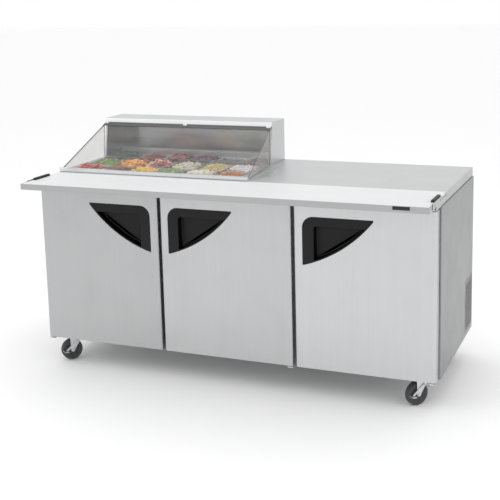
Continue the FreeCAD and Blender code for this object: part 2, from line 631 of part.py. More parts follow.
def board():
    """Steel tray with a front lip, the board in it, its end brackets with screws, clips and a display."""
    front = f"({FACE} - board_overhang + display_proud)"
    rear = f"({FACE} + board_rear)"
    top = "worktop_height"
    low = f"({top} - lip_height)"
    seat = f"({LEDGE} + sheet)"
    across = (f"-{TOP_END}", TOP_END)
    pieces = [
        box("TrayPlate", across, (front, rear), (LEDGE, seat)),
        box("TrayLip", across, (front, f"{front} + sheet"), (low, top)),
    ]
    for i, side in enumerate((-1, 1)):
        span = ordered(side, f"{TOP_END} - sheet", TOP_END)
        pieces.append(box(f"TrayEnd{i}", span, (front, f"{FACE} + top_setback - 4"), (low, top)))
    node(joined("BoardTray", pieces), "board_tray")

    end = f"({TOP_END} - sheet - board_play)"
    blank = box("BoardBlank", (f"-{end}", end), (f"{front} + sheet + board_play / 2", rear), (seat, top))
    clip_y = (f"{FACE} + clip_back - clip_length / 2", f"{FACE} + clip_back + clip_length / 2")
    notch_y = (f"{clip_y[0]} - board_play", f"{clip_y[1]} + board_play")
    plate_y = (f"{FACE} - bracket_front", f"{FACE} + bracket_back")
    step_y = (plate_y[0], f"{plate_y[0]} + bracket_step")
    foot = f"{UNDER_TOP} + bracket_foot"
    screws_y = (f"{FACE} - bracket_front + 35", f"{FACE} + bracket_back - 24")
    notches, clips, brackets = [], [], []
    for i, side in enumerate((-1, 1)):
        near, far = f"{TOP_END} - clip_width", f"{TOP_END} - sheet"
        span = ordered(side, f"{near} - board_play", f"{far} + board_play")
        notches.append(box(f"Notch{i}", span, notch_y, (f"{seat} - 1", f"{top} + 1")))
        clips.append(box(f"Clip{i}", ordered(side, near, far), clip_y, (seat, f"{top} + clip_rise")))
        near, far = TOP_END, f"{TOP_END} + bracket_sheet"
        plate = box(f"Plate{i}", ordered(side, near, far), plate_y, (foot, f"{top} + bracket_rise"))
        corner = box(f"Corner{i}", ordered(side, near, far), step_y, (foot, f"{low} + 6"))
        brackets.append(cut(f"Bracket{i}", plate, [corner]))
        near, far = far, f"{far} + screw_head"
        for k, y in enumerate(screws_y):
            at = (ordered(side, near, far)[0], y, f"{top} - screw_drop")
            brackets.append(rod(f"Screw{i}{k}", "screw_radius", "screw_head", at, "X"))
    node(cut("Board", blank, notches), "cutting_board")
    node(joined("Brackets", brackets), "board_brackets")
    node(joined("Clips", clips), "board_clips")
    label = (f"{SIDE} - display_side - display_width", f"{SIDE} - display_side")
    label_z = (f"{top} - display_drop - display_height", f"{top} - display_drop")
    node(box("Display", label, (f"{front} - display_proud", front), label_z), "display_strip")


def ordered(side, near, far):
    """Two distances from the middle as a low and a high X, on the right (1) or on the left (-1)."""
    return (near, far) if side > 0 else (f"-({far})", f"-({near})")


# Hood and lid ----------------------------------------------------------------------------------------------


def hood():
    """Steel hood over the back of the pans, its air duct, and the collar that the lid closes on."""
    width = f"({HOOD_X_END} - {HOOD_X})"
    body = new_body("Hood", (HOOD_X, BACK, "worktop_height"))
    side = [
        ("-hood_foot_depth", "0"),
        ("0", "0"),
        ("0", "hood_rise"),
        ("-hood_top_depth", "hood_rise"),
        ("-hood_top_depth", "hood_rise - fascia_height"),
    ]
    pad(body, outline(body, "HoodSide", "YZ_Plane", side), width)
    doc.recompute()
    past_foot = "-hood_foot_depth - 60"
    behind_fascia = "fascia_sheet - hood_top_depth"
    inside = [
        (past_foot, "-1"),
        ("-hood_wall", "-1"),
        ("-hood_wall", "hood_rise - hood_wall"),
        (behind_fascia, "hood_rise - hood_wall"),
        (behind_fascia, "hood_rise - fascia_height"),
        (past_foot, "hood_rise - fascia_height"),
    ]
    hollow = outline(body, "HoodInside", "YZ_Plane", inside, offset=f"{width} - hood_wall")
    pocket(body, hollow, f"{width} - 2 * hood_wall")
    node(body, "hood_shell")

    x = (f"{HOOD_X} + hood_wall", f"{HOOD_X_END} - hood_wall")
    z = ("worktop_height", "worktop_height + duct_height")
    node(box("AirDuct", x, (f"{PAN_END} + pan_play", f"{BACK} - hood_wall"), z), "rear_air_duct")

    front, rear = f"{FACE} + lid_front", f"{HOOD_FOOT_Y} - 3"
    z = ("worktop_height", COLLAR_TOP)
    strips = [
        box("CollarFront", (LID_X, LID_X_END), (front, PAN_Y), z),
        box("CollarLeft", (LID_X, PAN_X), (front, rear), z),
        box("CollarRight", (PAN_X_END, LID_X_END), (front, rear), z),
    ]
    node(joined("Collar", strips), "lid_collar")


def strip_between(a, b, low, high, x, length):
    """A bar along X whose section runs from one point to another, between two heights off that line."""
    along = (b - a).normalize()
    off = Vector(0, along.z, -along.y)
    corners = [a + off * low, b + off * low, b + off * high, a + off * high]
    corners = [Vector(x, c.y, c.z) for c in corners]
    return Part.Face(Part.makePolygon([*corners, corners[0]])).extrude(Vector(length, 0, 0))


def sheet_on(points, thickness, inside):
    """A flat sheet on the side of a polygon that faces a given point."""
    flat = Part.Face(Part.makePolygon([*points, points[0]]))
    normal = (points[1] - points[0]).cross(points[2] - points[1]).normalize()
    if normal.dot(inside - points[0]) < 0:
        normal = normal * -1
    return flat.extrude(normal * thickness)


def lid_glass(pivot, slope):
    """Clear sloping panel with a clear three-cornered sheet at each side, splayed out towards the front."""
    sheet = dim("lid_sheet")
    bottom = number(f"{COLLAR_TOP} + lid_gap")
    head = pivot + slope * dim("glass_start")
    foot_y, rear_y = number(f"{FACE} + lid_front + lid_foot_inset"), number(f"{HOOD_FOOT_Y} - lid_rear_gap")
    top = (number(f"{HOOD_X} + 2"), number(f"{HOOD_X_END} - 2"))
    base = (number(f"{LID_X} + 1"), number(f"{LID_X_END} - 1"))
    middle = Vector(sum(top) / 2, (foot_y + rear_y) / 2, bottom)
    heads = [Vector(x, head.y, head.z) for x in top]
    feet = [Vector(x, foot_y, bottom + sheet) for x in base]
    pieces = [sheet_on([heads[0], feet[0], feet[1], heads[1]], sheet, middle)]
    for upper, x, lower in zip(heads, top, feet):
        pieces.append(sheet_on([upper, Vector(x, rear_y, bottom), lower], sheet, middle))
    return pieces[0].fuse(pieces[1:]).removeSplitter()


def lid():
    """Clear lid on a rod that turns in three knuckles under the hood's front edge."""
    pivot = Vector(
        0,
        number(f"{HOOD_TOP_Y} - pivot_gap"),
        number("worktop_height + hood_rise - fascia_height - pivot_drop"),
    )
    foot_y = number(f"{FACE} + lid_front + lid_foot_inset")
    foot = Vector(0, foot_y, number(f"{COLLAR_TOP} + lid_gap + lid_sheet"))
    slope = (foot - pivot).normalize()
    glass = lid_glass(pivot, slope)
    computed("lid_glass", glass)

    rod_inset, end_play, clearance, lap, leaf, root, lug_root = 2, 1, 1.15, 14, 2, 3, 0.2
    start, end = number(HOOD_X) + rod_inset, number(HOOD_X_END) - rod_inset
    span = end - start
    across = Vector(1, 0, 0)
    bore = dim("lid_rod_radius") + dim("running")
    barrel_radius = bore + dim("knuckle_wall")
    strip_start = barrel_radius + clearance
    strip_end = dim("glass_start") + lap
    axle = Part.makeCylinder(dim("lid_rod_radius"), span, Vector(start, pivot.y, pivot.z), across)
    strip = strip_between(pivot + slope * strip_start, pivot + slope * strip_end, -leaf, leaf, start, span)
    half = dim("knuckle_width") / 2
    centres = [start + half + end_play, (start + end) / 2, end - half - end_play]
    lugs = []
    for a, b in zip(centres, centres[1:]):
        low, high = a + half + dim("knuckle_play"), b - half - dim("knuckle_play")
        lug_end = pivot + slope * (strip_start + lug_root)
        lugs.append(strip_between(pivot + slope, lug_end, -leaf, leaf, low, high - low))
    computed("lid_hinge_rod", axle.fuse([strip, *lugs]).removeSplitter().cut(glass))

    knuckles = []
    hood_shape = doc.getObject("Hood").Shape
    for centre in centres:
        at = Vector(centre - half, pivot.y, pivot.z)
        barrel = Part.makeCylinder(barrel_radius, 2 * half, at, across)
        high = dim("pivot_drop") + root + rod_inset
        leg = Part.makeBox(2 * half, dim("pivot_gap"), high, at + Vector(0, 0, -root))
        hole = Part.makeCylinder(bore, 2 * half, at, across)
        knuckles.append(barrel.fuse(leg).cut([hole, hood_shape]).removeSplitter())
    computed("lid_knuckles", Part.makeCompound(knuckles))

    y = (f"{FACE} + lid_front - lid_rail_proud", f"{FACE} + lid_front - lid_rail_proud + lid_rail_depth")
    z = (f"{COLLAR_TOP} + lid_gap", f"{COLLAR_TOP} + lid_gap + lid_rail_height")
    rail = box("LidRail", (LID_X, LID_X_END), y, z)
    inside = doc.addObject("Part::Feature", "GlassInRail")
    inside.Shape = glass
    node(cut("LidRailSlotted", rail, [inside]), "lid_rail")


# Doors -----------------------------------------------------------------------------------------------------

OUTER_DOOR = f"({SIDE} - door_side_inset - mullion_centre - between_doors / 2)"
MIDDLE_DOOR = "(2 * mullion_centre - between_doors)"
DOOR_HIGH = f"({DOOR_TOP} - {DOOR_BOTTOM})"
# name, which side of the handle the door extends to, handle edge, width
DOORS = [
    ("left", -1, "(-mullion_centre - between_doors / 2)", OUTER_DOOR),
    ("middle", 1, "(between_doors / 2 - mullion_centre)", MIDDLE_DOOR),
    ("right", 1, "(mullion_centre + between_doors / 2)", OUTER_DOOR),
]


def turned(corners, arcs, way):
    """The outline for a door that extends to +X, or its mirror image for one that extends to -X."""
    if way > 0:
        return corners, arcs
    count = len(corners)
    mirror = [(f"-({x})", y) if x != "0" else (x, y) for x, y in reversed(corners)]
    edges = {(count - 2 - i) % count: arc for i, arc in arcs.items()}
    return mirror, edges


# The centre of the handle's bowed edge, from the handle's side and from its foot.
BOW_RUN = "(handle_width - handle_tip)"
BOW_RISE = "(handle_height - handle_tip)"
BOW_CHORD = f"sqrt({BOW_RUN}^2 + {BOW_RISE}^2)"
BOW_DEEP = f"sqrt(handle_bow^2 - {BOW_CHORD}^2 / 4)"
BOW_ACROSS = f"(handle_tip + {BOW_RUN} / 2 - {BOW_RISE} / {BOW_CHORD} * {BOW_DEEP})"
BOW_UP = f"({BOW_RISE} / 2 + {BOW_RUN} / {BOW_CHORD} * {BOW_DEEP})"
POCKET_BOW = "(handle_bow - pocket_lip)"


def handle_outer():
    """Handle outline: straight top and side, a rounded outer corner and a bowed lower edge."""
    side, top = "handle_side", "handle_top"
    corners = [
        (side, f"-({top} + handle_corner)"),
        (side, f"-({top} + handle_height)"),
        (f"{side} + handle_tip", f"-({top} + handle_height)"),
        (f"{side} + handle_width", f"-({top} + handle_tip)"),
        (f"{side} + handle_width", f"-{top}"),
        (f"{side} + handle_corner", f"-{top}"),
    ]
    return corners, {2: ("handle_bow", 1), 5: ("handle_corner", 1)}


def handle_pocket():
    """Hand pocket: it leaves a wide frame along the top and the side, and an even rim along the bow."""
    left = "handle_side + pocket_side"
    top = "handle_top + pocket_top"
    rise = f"(handle_height - pocket_top - {BOW_UP})"
    run = f"({BOW_ACROSS} + sqrt({POCKET_BOW}^2 - {rise}^2))"
    drop = f"(handle_height - {BOW_UP} + sqrt({POCKET_BOW}^2 - (pocket_side - {BOW_ACROSS})^2))"
    corners = [
        (left, f"-({top} + pocket_corner)"),
        (left, f"-(handle_top + {drop})"),
        (f"handle_side + {run}", f"-({top})"),
        (f"{left} + pocket_corner", f"-({top})"),
    ]
    return corners, {1: (POCKET_BOW, 1), 3: ("pocket_corner", 1)}


def door(name, way, edge, width):
    """One door: a folded skin, a foam-filled inner panel with bores for the hinge pins, handle and gasket."""
    corner = (edge, FACE, DOOR_TOP)
    big = name.title()
    deep = "(door_thickness - inner_panel)"
    r = "door_corner"
    skin = new_body(big + "Skin", corner)
    u_shape = [
        ("0", deep),
        ("0", r),
        (r, "0"),
        (f"{width} - {r}", "0"),
        (width, r),
        (width, deep),
        (f"{width} - skin", deep),
        (f"{width} - skin", r),
        (f"{width} - {r}", "skin"),
        (r, "skin"),
        ("skin", r),
        ("skin", deep),
    ]
    bends = {1: (r, 1), 3: (r, 1), 7: (f"{r} - skin", -1), 9: (f"{r} - skin", -1)}
    section, arcs = turned(u_shape, bends, way)
    pad(skin, outline(skin, big + "SkinSection", "XY_Plane", section, arcs), DOOR_HIGH, reverse=True)
    doc.recompute()
    shape, arcs = turned(*handle_outer(), way)
    pocket(skin, outline(skin, big + "SkinHole", "XZ_Plane", shape, arcs), "skin")
    node(skin, f"{name}_door_skin")

    inner = new_body(big + "Inner", corner)
    filling = [
        ("skin", deep),
        ("skin", r),
        (r, "skin"),
        (f"{width} - {r}", "skin"),
        (f"{width} - skin", r),
        (f"{width} - skin", deep),
        (width, deep),
        (width, "door_thickness"),
        ("0", "door_thickness"),
        ("0", deep),
    ]
    section, arcs = turned(filling, {1: (f"{r} - skin", 1), 3: (f"{r} - skin", 1)}, way)
    pad(inner, outline(inner, big + "InnerSection", "XY_Plane", section, arcs), DOOR_HIGH, reverse=True)
    doc.recompute()
    recess = outline(inner, big + "Recess", "XZ_Plane", *turned(*handle_outer(), way), offset="-skin")
    pocket(inner, recess, "handle_depth - skin")
    pin = (f"{way} * ({width} - hinge_inset)", "hinge_inset", "hinge_radius + running")
    top = circles(inner, big + "TopBore", "XY_Plane", [pin])
    pocket(inner, top, "hinge_bore")
    low = circles(inner, big + "LowBore", "XY_Plane", [pin], offset=f"-{DOOR_HIGH}")
    pocket(inner, low, "hinge_bore", reverse=True)
    node(inner, f"{name}_door_inner")

    cup = new_body(big + "Cup", corner)
    shape, arcs = turned(*handle_outer(), way)
    pad(cup, outline(cup, big + "CupOutline", "XZ_Plane", shape, arcs), "handle_depth", reverse=True)
    doc.recompute()
    hollow = outline(cup, big + "CupPocket", "XZ_Plane", *turned(*handle_pocket(), way))
    pocket(cup, hollow, "handle_depth - cup_wall")
    node(cup, f"{name}_door_handle")

    near = "gasket_inset"
    left = edge if way > 0 else f"({edge} - {width})"
    x = (f"{left} + {near}", f"{left} + {width} - {near}")
    y = (f"{FACE} + door_thickness", f"{CAB_FRONT} - gasket_gap")
    z = (f"{DOOR_BOTTOM} + {near}", f"{DOOR_TOP} - {near}")
    outer = box(big + "GasketOuter", x, y, z)
    x = (f"{x[0]} + gasket_width", f"{x[1]} - gasket_width")
    z = (f"{z[0]} + gasket_width", f"{z[1]} - gasket_width")
    node(cut(big + "Gasket", outer, [box(big + "GasketInner", x, y, z)]), f"{name}_door_gasket")


def hinges():
    """Plates above and below each door, each with a pin into the door."""
    pieces = []
    low = f"({CAB_BOTTOM} - hinge_plate)"
    head = f"({DOOR_TOP} + hinge_head_gap)"
    for i, (_, way, edge, width) in enumerate(DOORS):
        x = f"({edge} + ({way}) * ({width} - hinge_inset))"
        y = f"({FACE} + hinge_inset)"
        wide = (f"{x} - hinge_leaf", f"{x} + hinge_leaf")
        plate_y = (f"{FACE} + hinge_front", f"{CAB_FRONT} + 2 * hinge_leaf")
        plate = box(f"LowPlate{i}", wide, plate_y, (low, CAB_BOTTOM))
        pin = rod(f"LowPin{i}", "hinge_radius", f"{DOOR_BOTTOM} + hinge_grip - {low}", (x, y, low))
        pieces.append(joined(f"LowHinge{i}", [plate, pin]))
        plate_y = (f"{FACE} + hinge_front", CAB_FRONT)
        plate = box(f"TopPlate{i}", wide, plate_y, (head, f"{head} + hinge_plate - 1"))
        long = "hinge_head_gap + hinge_grip + hinge_root"
        pin = rod(f"TopPin{i}", "hinge_radius", long, (x, y, f"{DOOR_TOP} - hinge_grip"))
        pieces.append(joined(f"TopHinge{i}", [plate, pin]))
    node(joined("Hinges", pieces), "hinge_brackets")


# Inside the cabinet ----------------------------------------------------------------------------------------

POST_BACK = f"({CAB_FRONT} + frame_depth)"
SHELF_FRONT = f"({POST_BACK} + shelf_play)"
SHELF_BACK = f"({BULK_FRONT} - shelf_play + 2)"
SHELF_Z = f"({FLOOR_TOP} + shelf_height)"
SHELVES = [
    (f"(shelf_play - {INNER})", "(-mullion_centre - shelf_between)"),
    ("(shelf_between - mullion_centre)", "(mullion_centre - shelf_between)"),
    ("(mullion_centre + shelf_between)", f"({INNER} - shelf_play)"),
]


def wire_shelf(left, right):
    """Lengthwise wires on three cross rods inside a rim of thicker rod."""
    x0, x1, y0, y1, z = (number(text) for text in (left, right, SHELF_FRONT, SHELF_BACK, SHELF_Z))
    thin = dim("shelf_wire") / 2
    thick = thin + 1
    across, back = Vector(1, 0, 0), Vector(0, 1, 0)
    rods = []
    for y in (y0 + thick, (y0 + y1) / 2, y1 - thick):
        rods.append(Part.makeCylinder(thick, x1 - x0, Vector(x0, y, z + thick), across))
    count = int((x1 - x0) // dim("shelf_pitch"))
    pitch = (x1 - x0 - 2 * thick) / count
    weld = 0.8
    for i in range(count + 1):
        start = Vector(x0 + thick + i * pitch, y0, z + 2 * thick + thin - weld)
        rods.append(Part.makeCylinder(thin, y1 - y0, start, back))
    return rods[0].fuse(rods[1:])


def shelves():
    """One wire shelf behind each door, on clips on the front posts, the sides and the machine housing."""
    computed("wire_shelves", Part.makeCompound([wire_shelf(*ends) for ends in SHELVES]))
    clips = []
    z = (f"{SHELF_Z} - clip_high", SHELF_Z)
    post_y = (POST_BACK, f"{POST_BACK} + clip_deep")
    side_y = (f"{POST_BACK} + clip_set", f"{POST_BACK} + clip_set + clip_deep")
    for i, ends in enumerate(SHELVES):
        for k, way in enumerate((1, -1)):
            near, far = f"{ends[k]} + {way} * clip_in", f"{ends[k]} + {way} * (clip_in + clip_wide)"
            rear_y = (f"{BULK_FRONT} - clip_wide", BULK_FRONT)
            clips.append(box(f"RearClip{i}{k}", sorted((near, far), key=number), rear_y, z))
            if (i, way) == (0, 1):
                clips.append(box("SideClipLeft", (f"-{INNER}", f"clip_side - {INNER}"), side_y, z))
            elif (i, way) == (2, -1):
                clips.append(box("SideClipRight", (f"{INNER} - clip_side", INNER), side_y, z))
            else:
                span = sorted((ends[k], f"{ends[k]} + {way} * clip_post"), key=number)
                clips.append(box(f"PostClip{i}{k}", span, post_y, z))
    node(joined("ShelfClips", clips), "shelf_clips")


def fan_shape():
    """A fan on the Z axis: a hub with a bore and five blades set at an angle."""
    radius, hub, depth = dim("fan_radius"), dim("fan_hub"), dim("fan_length")
    bore = dim("fan_shaft") + dim("running")
    root = hub - 3
    sheet, width = 1.5, depth * 1.1
    count, pitch_angle = 5, 55
    shape = Part.makeCylinder(hub, depth)
    blades = []
    for i in range(count):
        blade = Part.makeBox(radius - root, sheet, width, Vector(root, -sheet / 2, -width / 2))
        blade.rotate(Vector(), Vector(1, 0, 0), pitch_angle)
        blade.translate(Vector(0, 0, depth / 2))
        blade.rotate(Vector(), Vector(0, 0, 1), 360 / count * i)
        blades.append(blade)
    shape = shape.fuse(blades)
    return shape.cut(Part.makeCylinder(bore, depth * 2, Vector(0, 0, -depth / 2))).removeSplitter()


def finned_block(name, x, y, z, count, along):
    """A coil seen as a block with slots between its fins, joined by its top and bottom plates."""
    first, last = x if along == "X" else y
    pitch = f"(({last}) - ({first}) - 2 * fin_end) / {count}"
    slots = []
    for i in range(count):
        start = f"({first}) + fin_end + {i} * {pitch} + fin / 2"
        span = (start, f"{start} + {pitch} - fin")
        through_x = (f"({x[0]}) - 1", f"({x[1]}) + 1")
        through_y = (f"({y[0]}) - 1", f"({y[1]}) + 1")
        tall = (f"({z[0]}) + coil_plate", f"({z[1]}) - coil_plate")
        sides = (span, through_y) if along == "X" else (through_x, span)
        slots.append(box(f"{name}Slot{i}", *sides, tall))
    return cut(name, box(name + "Block", x, y, z), slots)


def cooling():
    """Evaporator and fan above the machine housing; compressor, condenser and fan inside it."""
    evaporator()
    bay_y = f"({BACK_INNER} - machine_depth / 2)"
    condenser(bay_y)
    compressor(bay_y)
    inlet()


def evaporator():
    """Finned coil on the machine housing's deck, with a fan and its motor in front."""
    deck_top = f"({DECK} + bulkhead)"
    coil_end = f"({INNER} - coil_inset)"
    coil_front = f"({BACK_INNER} - bay_gap - coil_depth)"
    coil_x = (f"{coil_end} - coil_width", coil_end)
    coil_y = (coil_front, f"{BACK_INNER} - bay_gap")
    coil = finned_block("Coil", coil_x, coil_y, (deck_top, f"{deck_top} + coil_height"), 20, "X")
    x, z = f"{coil_end} - coil_width / 2", f"{deck_top} + coil_height / 2"
    motor_y = f"{coil_front} - motor_length"
    motor = rod("EvaporatorMotor", "motor_radius", "motor_length", (x, motor_y, z), "Y")
    shaft_y = f"{motor_y} - shaft_length + shaft_seat"
    shaft = rod("EvaporatorShaft", "fan_shaft", "shaft_length", (x, shaft_y, z), "Y")
    node(joined("EvaporatorUnit", [coil, motor, shaft]), "evaporator_unit")
    at = Vector(number(x), number(coil_front) - dim("fan_ahead"), number(z))
    facing_front = FreeCAD.Rotation(Vector(1, 0, 0), 90)
    computed("evaporator_fan", fan_shape(), FreeCAD.Placement(at, facing_front))


def condenser(bay_y):
    """Finned coil behind the side grille, with a fan and its motor on a post beside it."""
    x = (f"{INNER} - condenser_gap - condenser_depth", f"{INNER} - condenser_gap")
    y = (f"{BACK_INNER} - machine_depth + bay_gap", f"{BACK_INNER} - bay_gap")
    z = (FLOOR_TOP, f"{FLOOR_TOP} + condenser_height")
    node(finned_block("Condenser", x, y, z, 12, "Y"), "condenser_coil")
    centre = f"({FLOOR_TOP} + condenser_height / 2)"
    motor_x = f"({INNER} - blower_inset)"
    post_start = f"{motor_x} + (blower_length - post_width) / 2"
    post_x = (post_start, f"{post_start} + post_width")
    post_y = (f"{bay_y} - post_depth / 2", f"{bay_y} + post_depth / 2")
    post = box("MotorPost", post_x, post_y, (FLOOR_TOP, centre))
    motor = rod("CondenserMotorBody", "blower_radius", "blower_length", (motor_x, bay_y, centre), "X")
    shaft_x = f"{motor_x} + blower_length - shaft_seat"
    shaft = rod("CondenserShaft", "fan_shaft", "shaft_length", (shaft_x, bay_y, centre), "X")
    node(joined("CondenserMotor", [post, motor, shaft]), "condenser_motor")
    fan_x = number(motor_x) + dim("blower_length") + dim("blower_fan_gap")
    at = Vector(fan_x, number(bay_y), number(centre))
    computed("condenser_fan", fan_shape(), FreeCAD.Placement(at, TURNS["X"]))


def compressor(bay_y):
    """Domed shell on a base plate with four feet."""
    x = f"{INNER} - compressor_inset"
    shell = new_body("CompressorShell", (x, bay_y, FLOOR_TOP))
    profile = [
        ("0", "shell_low"),
        ("shell_radius - shell_bevel", "shell_low"),
        ("shell_radius", "shell_foot"),
        ("shell_radius", "shell_shoulder"),
        ("shell_crown", "shell_top"),
        ("0", "shell_top"),
    ]
    turn = shell.newObject("PartDesign::Revolution", "CompressorTurn")
    turn.Profile = outline(shell, "CompressorProfile", "XZ_Plane", profile, {3: ("shell_dome", 1)})
    turn.ReferenceAxis = (turn.Profile[0], ["V_Axis"])
    turn.Angle = 360
    base_x = (f"{x} - base_length / 2", f"{x} + base_length / 2")
    base_y = (f"{bay_y} - base_width / 2", f"{bay_y} + base_width / 2")
    base_z = (f"{FLOOR_TOP} + foot_height", f"{FLOOR_TOP} + foot_height + base_sheet")
    pieces = [shell, box("CompressorBase", base_x, base_y, base_z)]
    for i, across in enumerate((-1, 1)):
        for k, deep in enumerate((-1, 1)):
            foot_x = f"{x} + {across} * (base_length / 2 - foot_inset)"
            foot_y = f"{bay_y} + {deep} * (base_width / 2 - foot_inset)"
            foot_at = (foot_x, foot_y, FLOOR_TOP)
            pieces.append(rod(f"CompressorFoot{i}{k}", "foot_radius", "foot_height", foot_at))
    node(joined("Compressor", pieces), "compressor")


def inlet():
    """Mains inlet in the back panel: a case with a mouth and three blades."""
    case = box("InletCase", (INLET_X, f"{INLET_X} + inlet_width"), (BACK_INNER, BACK), INLET_SPAN)
    mouth_x = (f"{INLET_X} + inlet_wall", f"{INLET_X} + inlet_width - inlet_wall")
    mouth_z = (f"{INLET_Z} + inlet_wall", f"{INLET_Z} + inlet_height - inlet_wall")
    pieces = [cut("InletShell", case, [box("InletMouth", mouth_x, (f"{BACK} - inlet_mouth", BACK), mouth_z)])]
    deep = (f"{BACK} - inlet_mouth", f"{BACK} - 6")
    blade_width, blade_height = 2, 6
    for i, (across, rise) in enumerate(((9, 8), (16, 14), (23, 8))):
        x = (f"{INLET_X} + {across}", f"{INLET_X} + {across + blade_width}")
        z = (f"{INLET_Z} + {rise}", f"{INLET_Z} + {rise + blade_height}")
        pieces.append(box(f"InletBlade{i}", x, deep, z))
    node(joined("PowerInlet", pieces), "power_inlet")


# Casters ---------------------------------------------------------------------------------------------------

CASTER_X = f"({SIDE} - caster_inset)"
REST_TURN = 230
CASTERS = [
    ("front_left", -1, f"({FACE} + front_caster)", True),
    ("front_right", 1, f"({FACE} + front_caster)", True),
    ("rear_left", -1, f"({BACK} - rear_caster)", False),
    ("rear_right", 1, f"({BACK} - rear_caster)", False),
]


def fork_shape(with_brake):
    """Caster fork on its pivot: stub, race, crown, two legs and the axle bolt; trail along +X."""
    cabinet_bottom = number(CAB_BOTTOM)
    plate_bottom = cabinet_bottom - dim("caster_plate")
    trail, axle_z = dim("caster_trail"), dim("wheel_radius")
    sheet = dim("fork_sheet")
    inner = dim("wheel_width") / 2 + dim("fork_gap")
    outer = inner + sheet
    crown_z = 2 * dim("wheel_radius") + dim("crown_gap")
    crown, race_radius, race_gap = 6, 26, 0.5
    bolt_head = 6
    leg_end = axle_z - 9
    up, side = Vector(0, 0, 1), Vector(0, 1, 0)
    pieces = [
        Part.makeCylinder(dim("stub_radius"), cabinet_bottom - 1 - crown_z, Vector(0, 0, crown_z), up),
        Part.makeCylinder(race_radius, plate_bottom - race_gap - crown_z - 3, Vector(0, 0, crown_z + 3), up),
        Part.makeBox(trail + 36, 2 * outer, crown, Vector(-22, -outer, crown_z)),
    ]
    top = crown_z + crown
    leg = [(-18, top), (trail + 12, top), (trail + 10, leg_end), (trail - 10, leg_end)]
    for start in (-outer, inner):
        points = [Vector(x, start, z) for x, z in leg]
        pieces.append(Part.Face(Part.makePolygon([*points, points[0]])).extrude(side * sheet))
    axle_at = Vector(trail, -outer - sheet, axle_z)
    pieces.append(Part.makeCylinder(dim("axle_radius"), 2 * (outer + sheet), axle_at, side))
    pieces.append(Part.makeCylinder(bolt_head, sheet, axle_at, side))
    pieces.append(Part.makeCylinder(bolt_head, 2.5, Vector(trail, outer, axle_z), side))
    if with_brake:
        stud = Vector(dim("lever_ahead"), outer - 1, 2 * dim("wheel_radius") - dim("lever_drop"))
        pieces.append(Part.makeCylinder(dim("lever_stud"), 8, stud, side))
    return pieces[0].fuse(pieces[1:]).removeSplitter()


def lever_shape():
    """Brake lever beside the fork's leg: an arm with a bore for its stud and a foot pad at the end."""
    radius, trail = dim("wheel_radius"), dim("caster_trail")
    outer = dim("wheel_width") / 2 + dim("fork_gap") + dim("fork_sheet") + 0.4
    side = Vector(0, 1, 0)
    sheet, pad_width = 3, 18
    stud = Vector(dim("lever_ahead"), outer, 2 * radius - dim("lever_drop"))
    tip = Vector(trail + radius - pad_width, outer, radius)
    along = (tip - stud).normalize()
    off = Vector(-along.z, 0, along.x) * 4
    points = [stud + off, tip + off, tip - off, stud - off]
    arm = Part.Face(Part.makePolygon([*points, points[0]])).extrude(side * sheet)
    eye = Part.makeCylinder(7, sheet, stud, side)
    pad_end = trail + radius
    pad_shape = Part.makeBox(26, pad_width, sheet, Vector(pad_end - 26, outer, radius - 5))
    hook = Part.makeBox(sheet, pad_width, 8, Vector(pad_end - sheet, outer, radius - 5))
    whole = arm.fuse([eye, pad_shape, hook])
    bore = Part.makeCylinder(dim("lever_stud") + dim("running"), 6, stud - side, side)
    return whole.cut(bore).removeSplitter()


def wheel(name, at, pose):
    """A turned wheel on its bore: a hub, a thin web and a rounded tread."""
    body = new_body(name)
    body.Placement = FreeCAD.Placement(Vector(), pose)
    place(body, at)
    half, rim, bore = "(wheel_width / 2)", "wheel_radius", "axle_radius + running"
    hub, web = "wheel_hub", f"({half} - web_step)"
    tread, groove = f"{rim} - tread", f"{rim} - tread - 3"
    corner = "tread_round"
    upper = [
        (rim, f"{half} - {corner}"),
        (f"{rim} - {corner}", half),
        (tread, half),
        (groove, web),
        (f"{hub} + 3", web),
        (hub, f"{half} + 1"),
        (bore, f"{half} + 1"),
    ]
    lower = [(x, f"-({y})") for x, y in reversed(upper)]
    rounded = {5: (corner, 1), 7: (corner, 1)}
    turn = body.newObject("PartDesign::Revolution", name + "Turn")
    turn.Profile = outline(body, name + "Section", "XY_Plane", lower + upper, rounded)
    turn.ReferenceAxis = (turn.Profile[0], ["V_Axis"])
    turn.Angle = 360
    return body


def casters():
    """Four swivel casters; the front two have brake levers."""
    plates = []
    pose = FreeCAD.Rotation(Vector(0, 0, 1), REST_TURN)
    plate_z = (f"{CAB_BOTTOM} - caster_plate", CAB_BOTTOM)
    for name, side, y, braked in CASTERS:
        x = f"({side} * {CASTER_X})"
        big = name.title().replace("_", "")
        span_x, span_y = (f"{x} - 40", f"{x} + 40"), (f"{y} - 40", f"{y} + 40")
        plate = box(big + "Plate", span_x, span_y, plate_z)
        bore = rod(big + "Bore", "stub_radius + running", "caster_plate", (x, y, plate_z[0]))
        plates.append(cut(big + "PlateBored", plate, [bore]))
        at_pivot = FreeCAD.Placement(Vector(number(x), number(y), 0), pose)
        computed(f"{name}_fork", fork_shape(braked), at_pivot)
        trail_x = f"{x} + caster_trail * cos({REST_TURN} deg)"
        trail_y = f"{y} + caster_trail * sin({REST_TURN} deg)"
        node(wheel(big + "Wheel", (trail_x, trail_y, "wheel_radius"), pose), f"{name}_wheel")
        if braked:
            computed(f"{name}_brake", lever_shape(), at_pivot)
    node(joined("CasterPlates", plates), "caster_plates")


for entry in DOORS:
    door(*entry)
cabinet()
worktop()
pan_well()
pans()
board()
hood()
lid()
hinges()
shelves()
cooling()
casters()

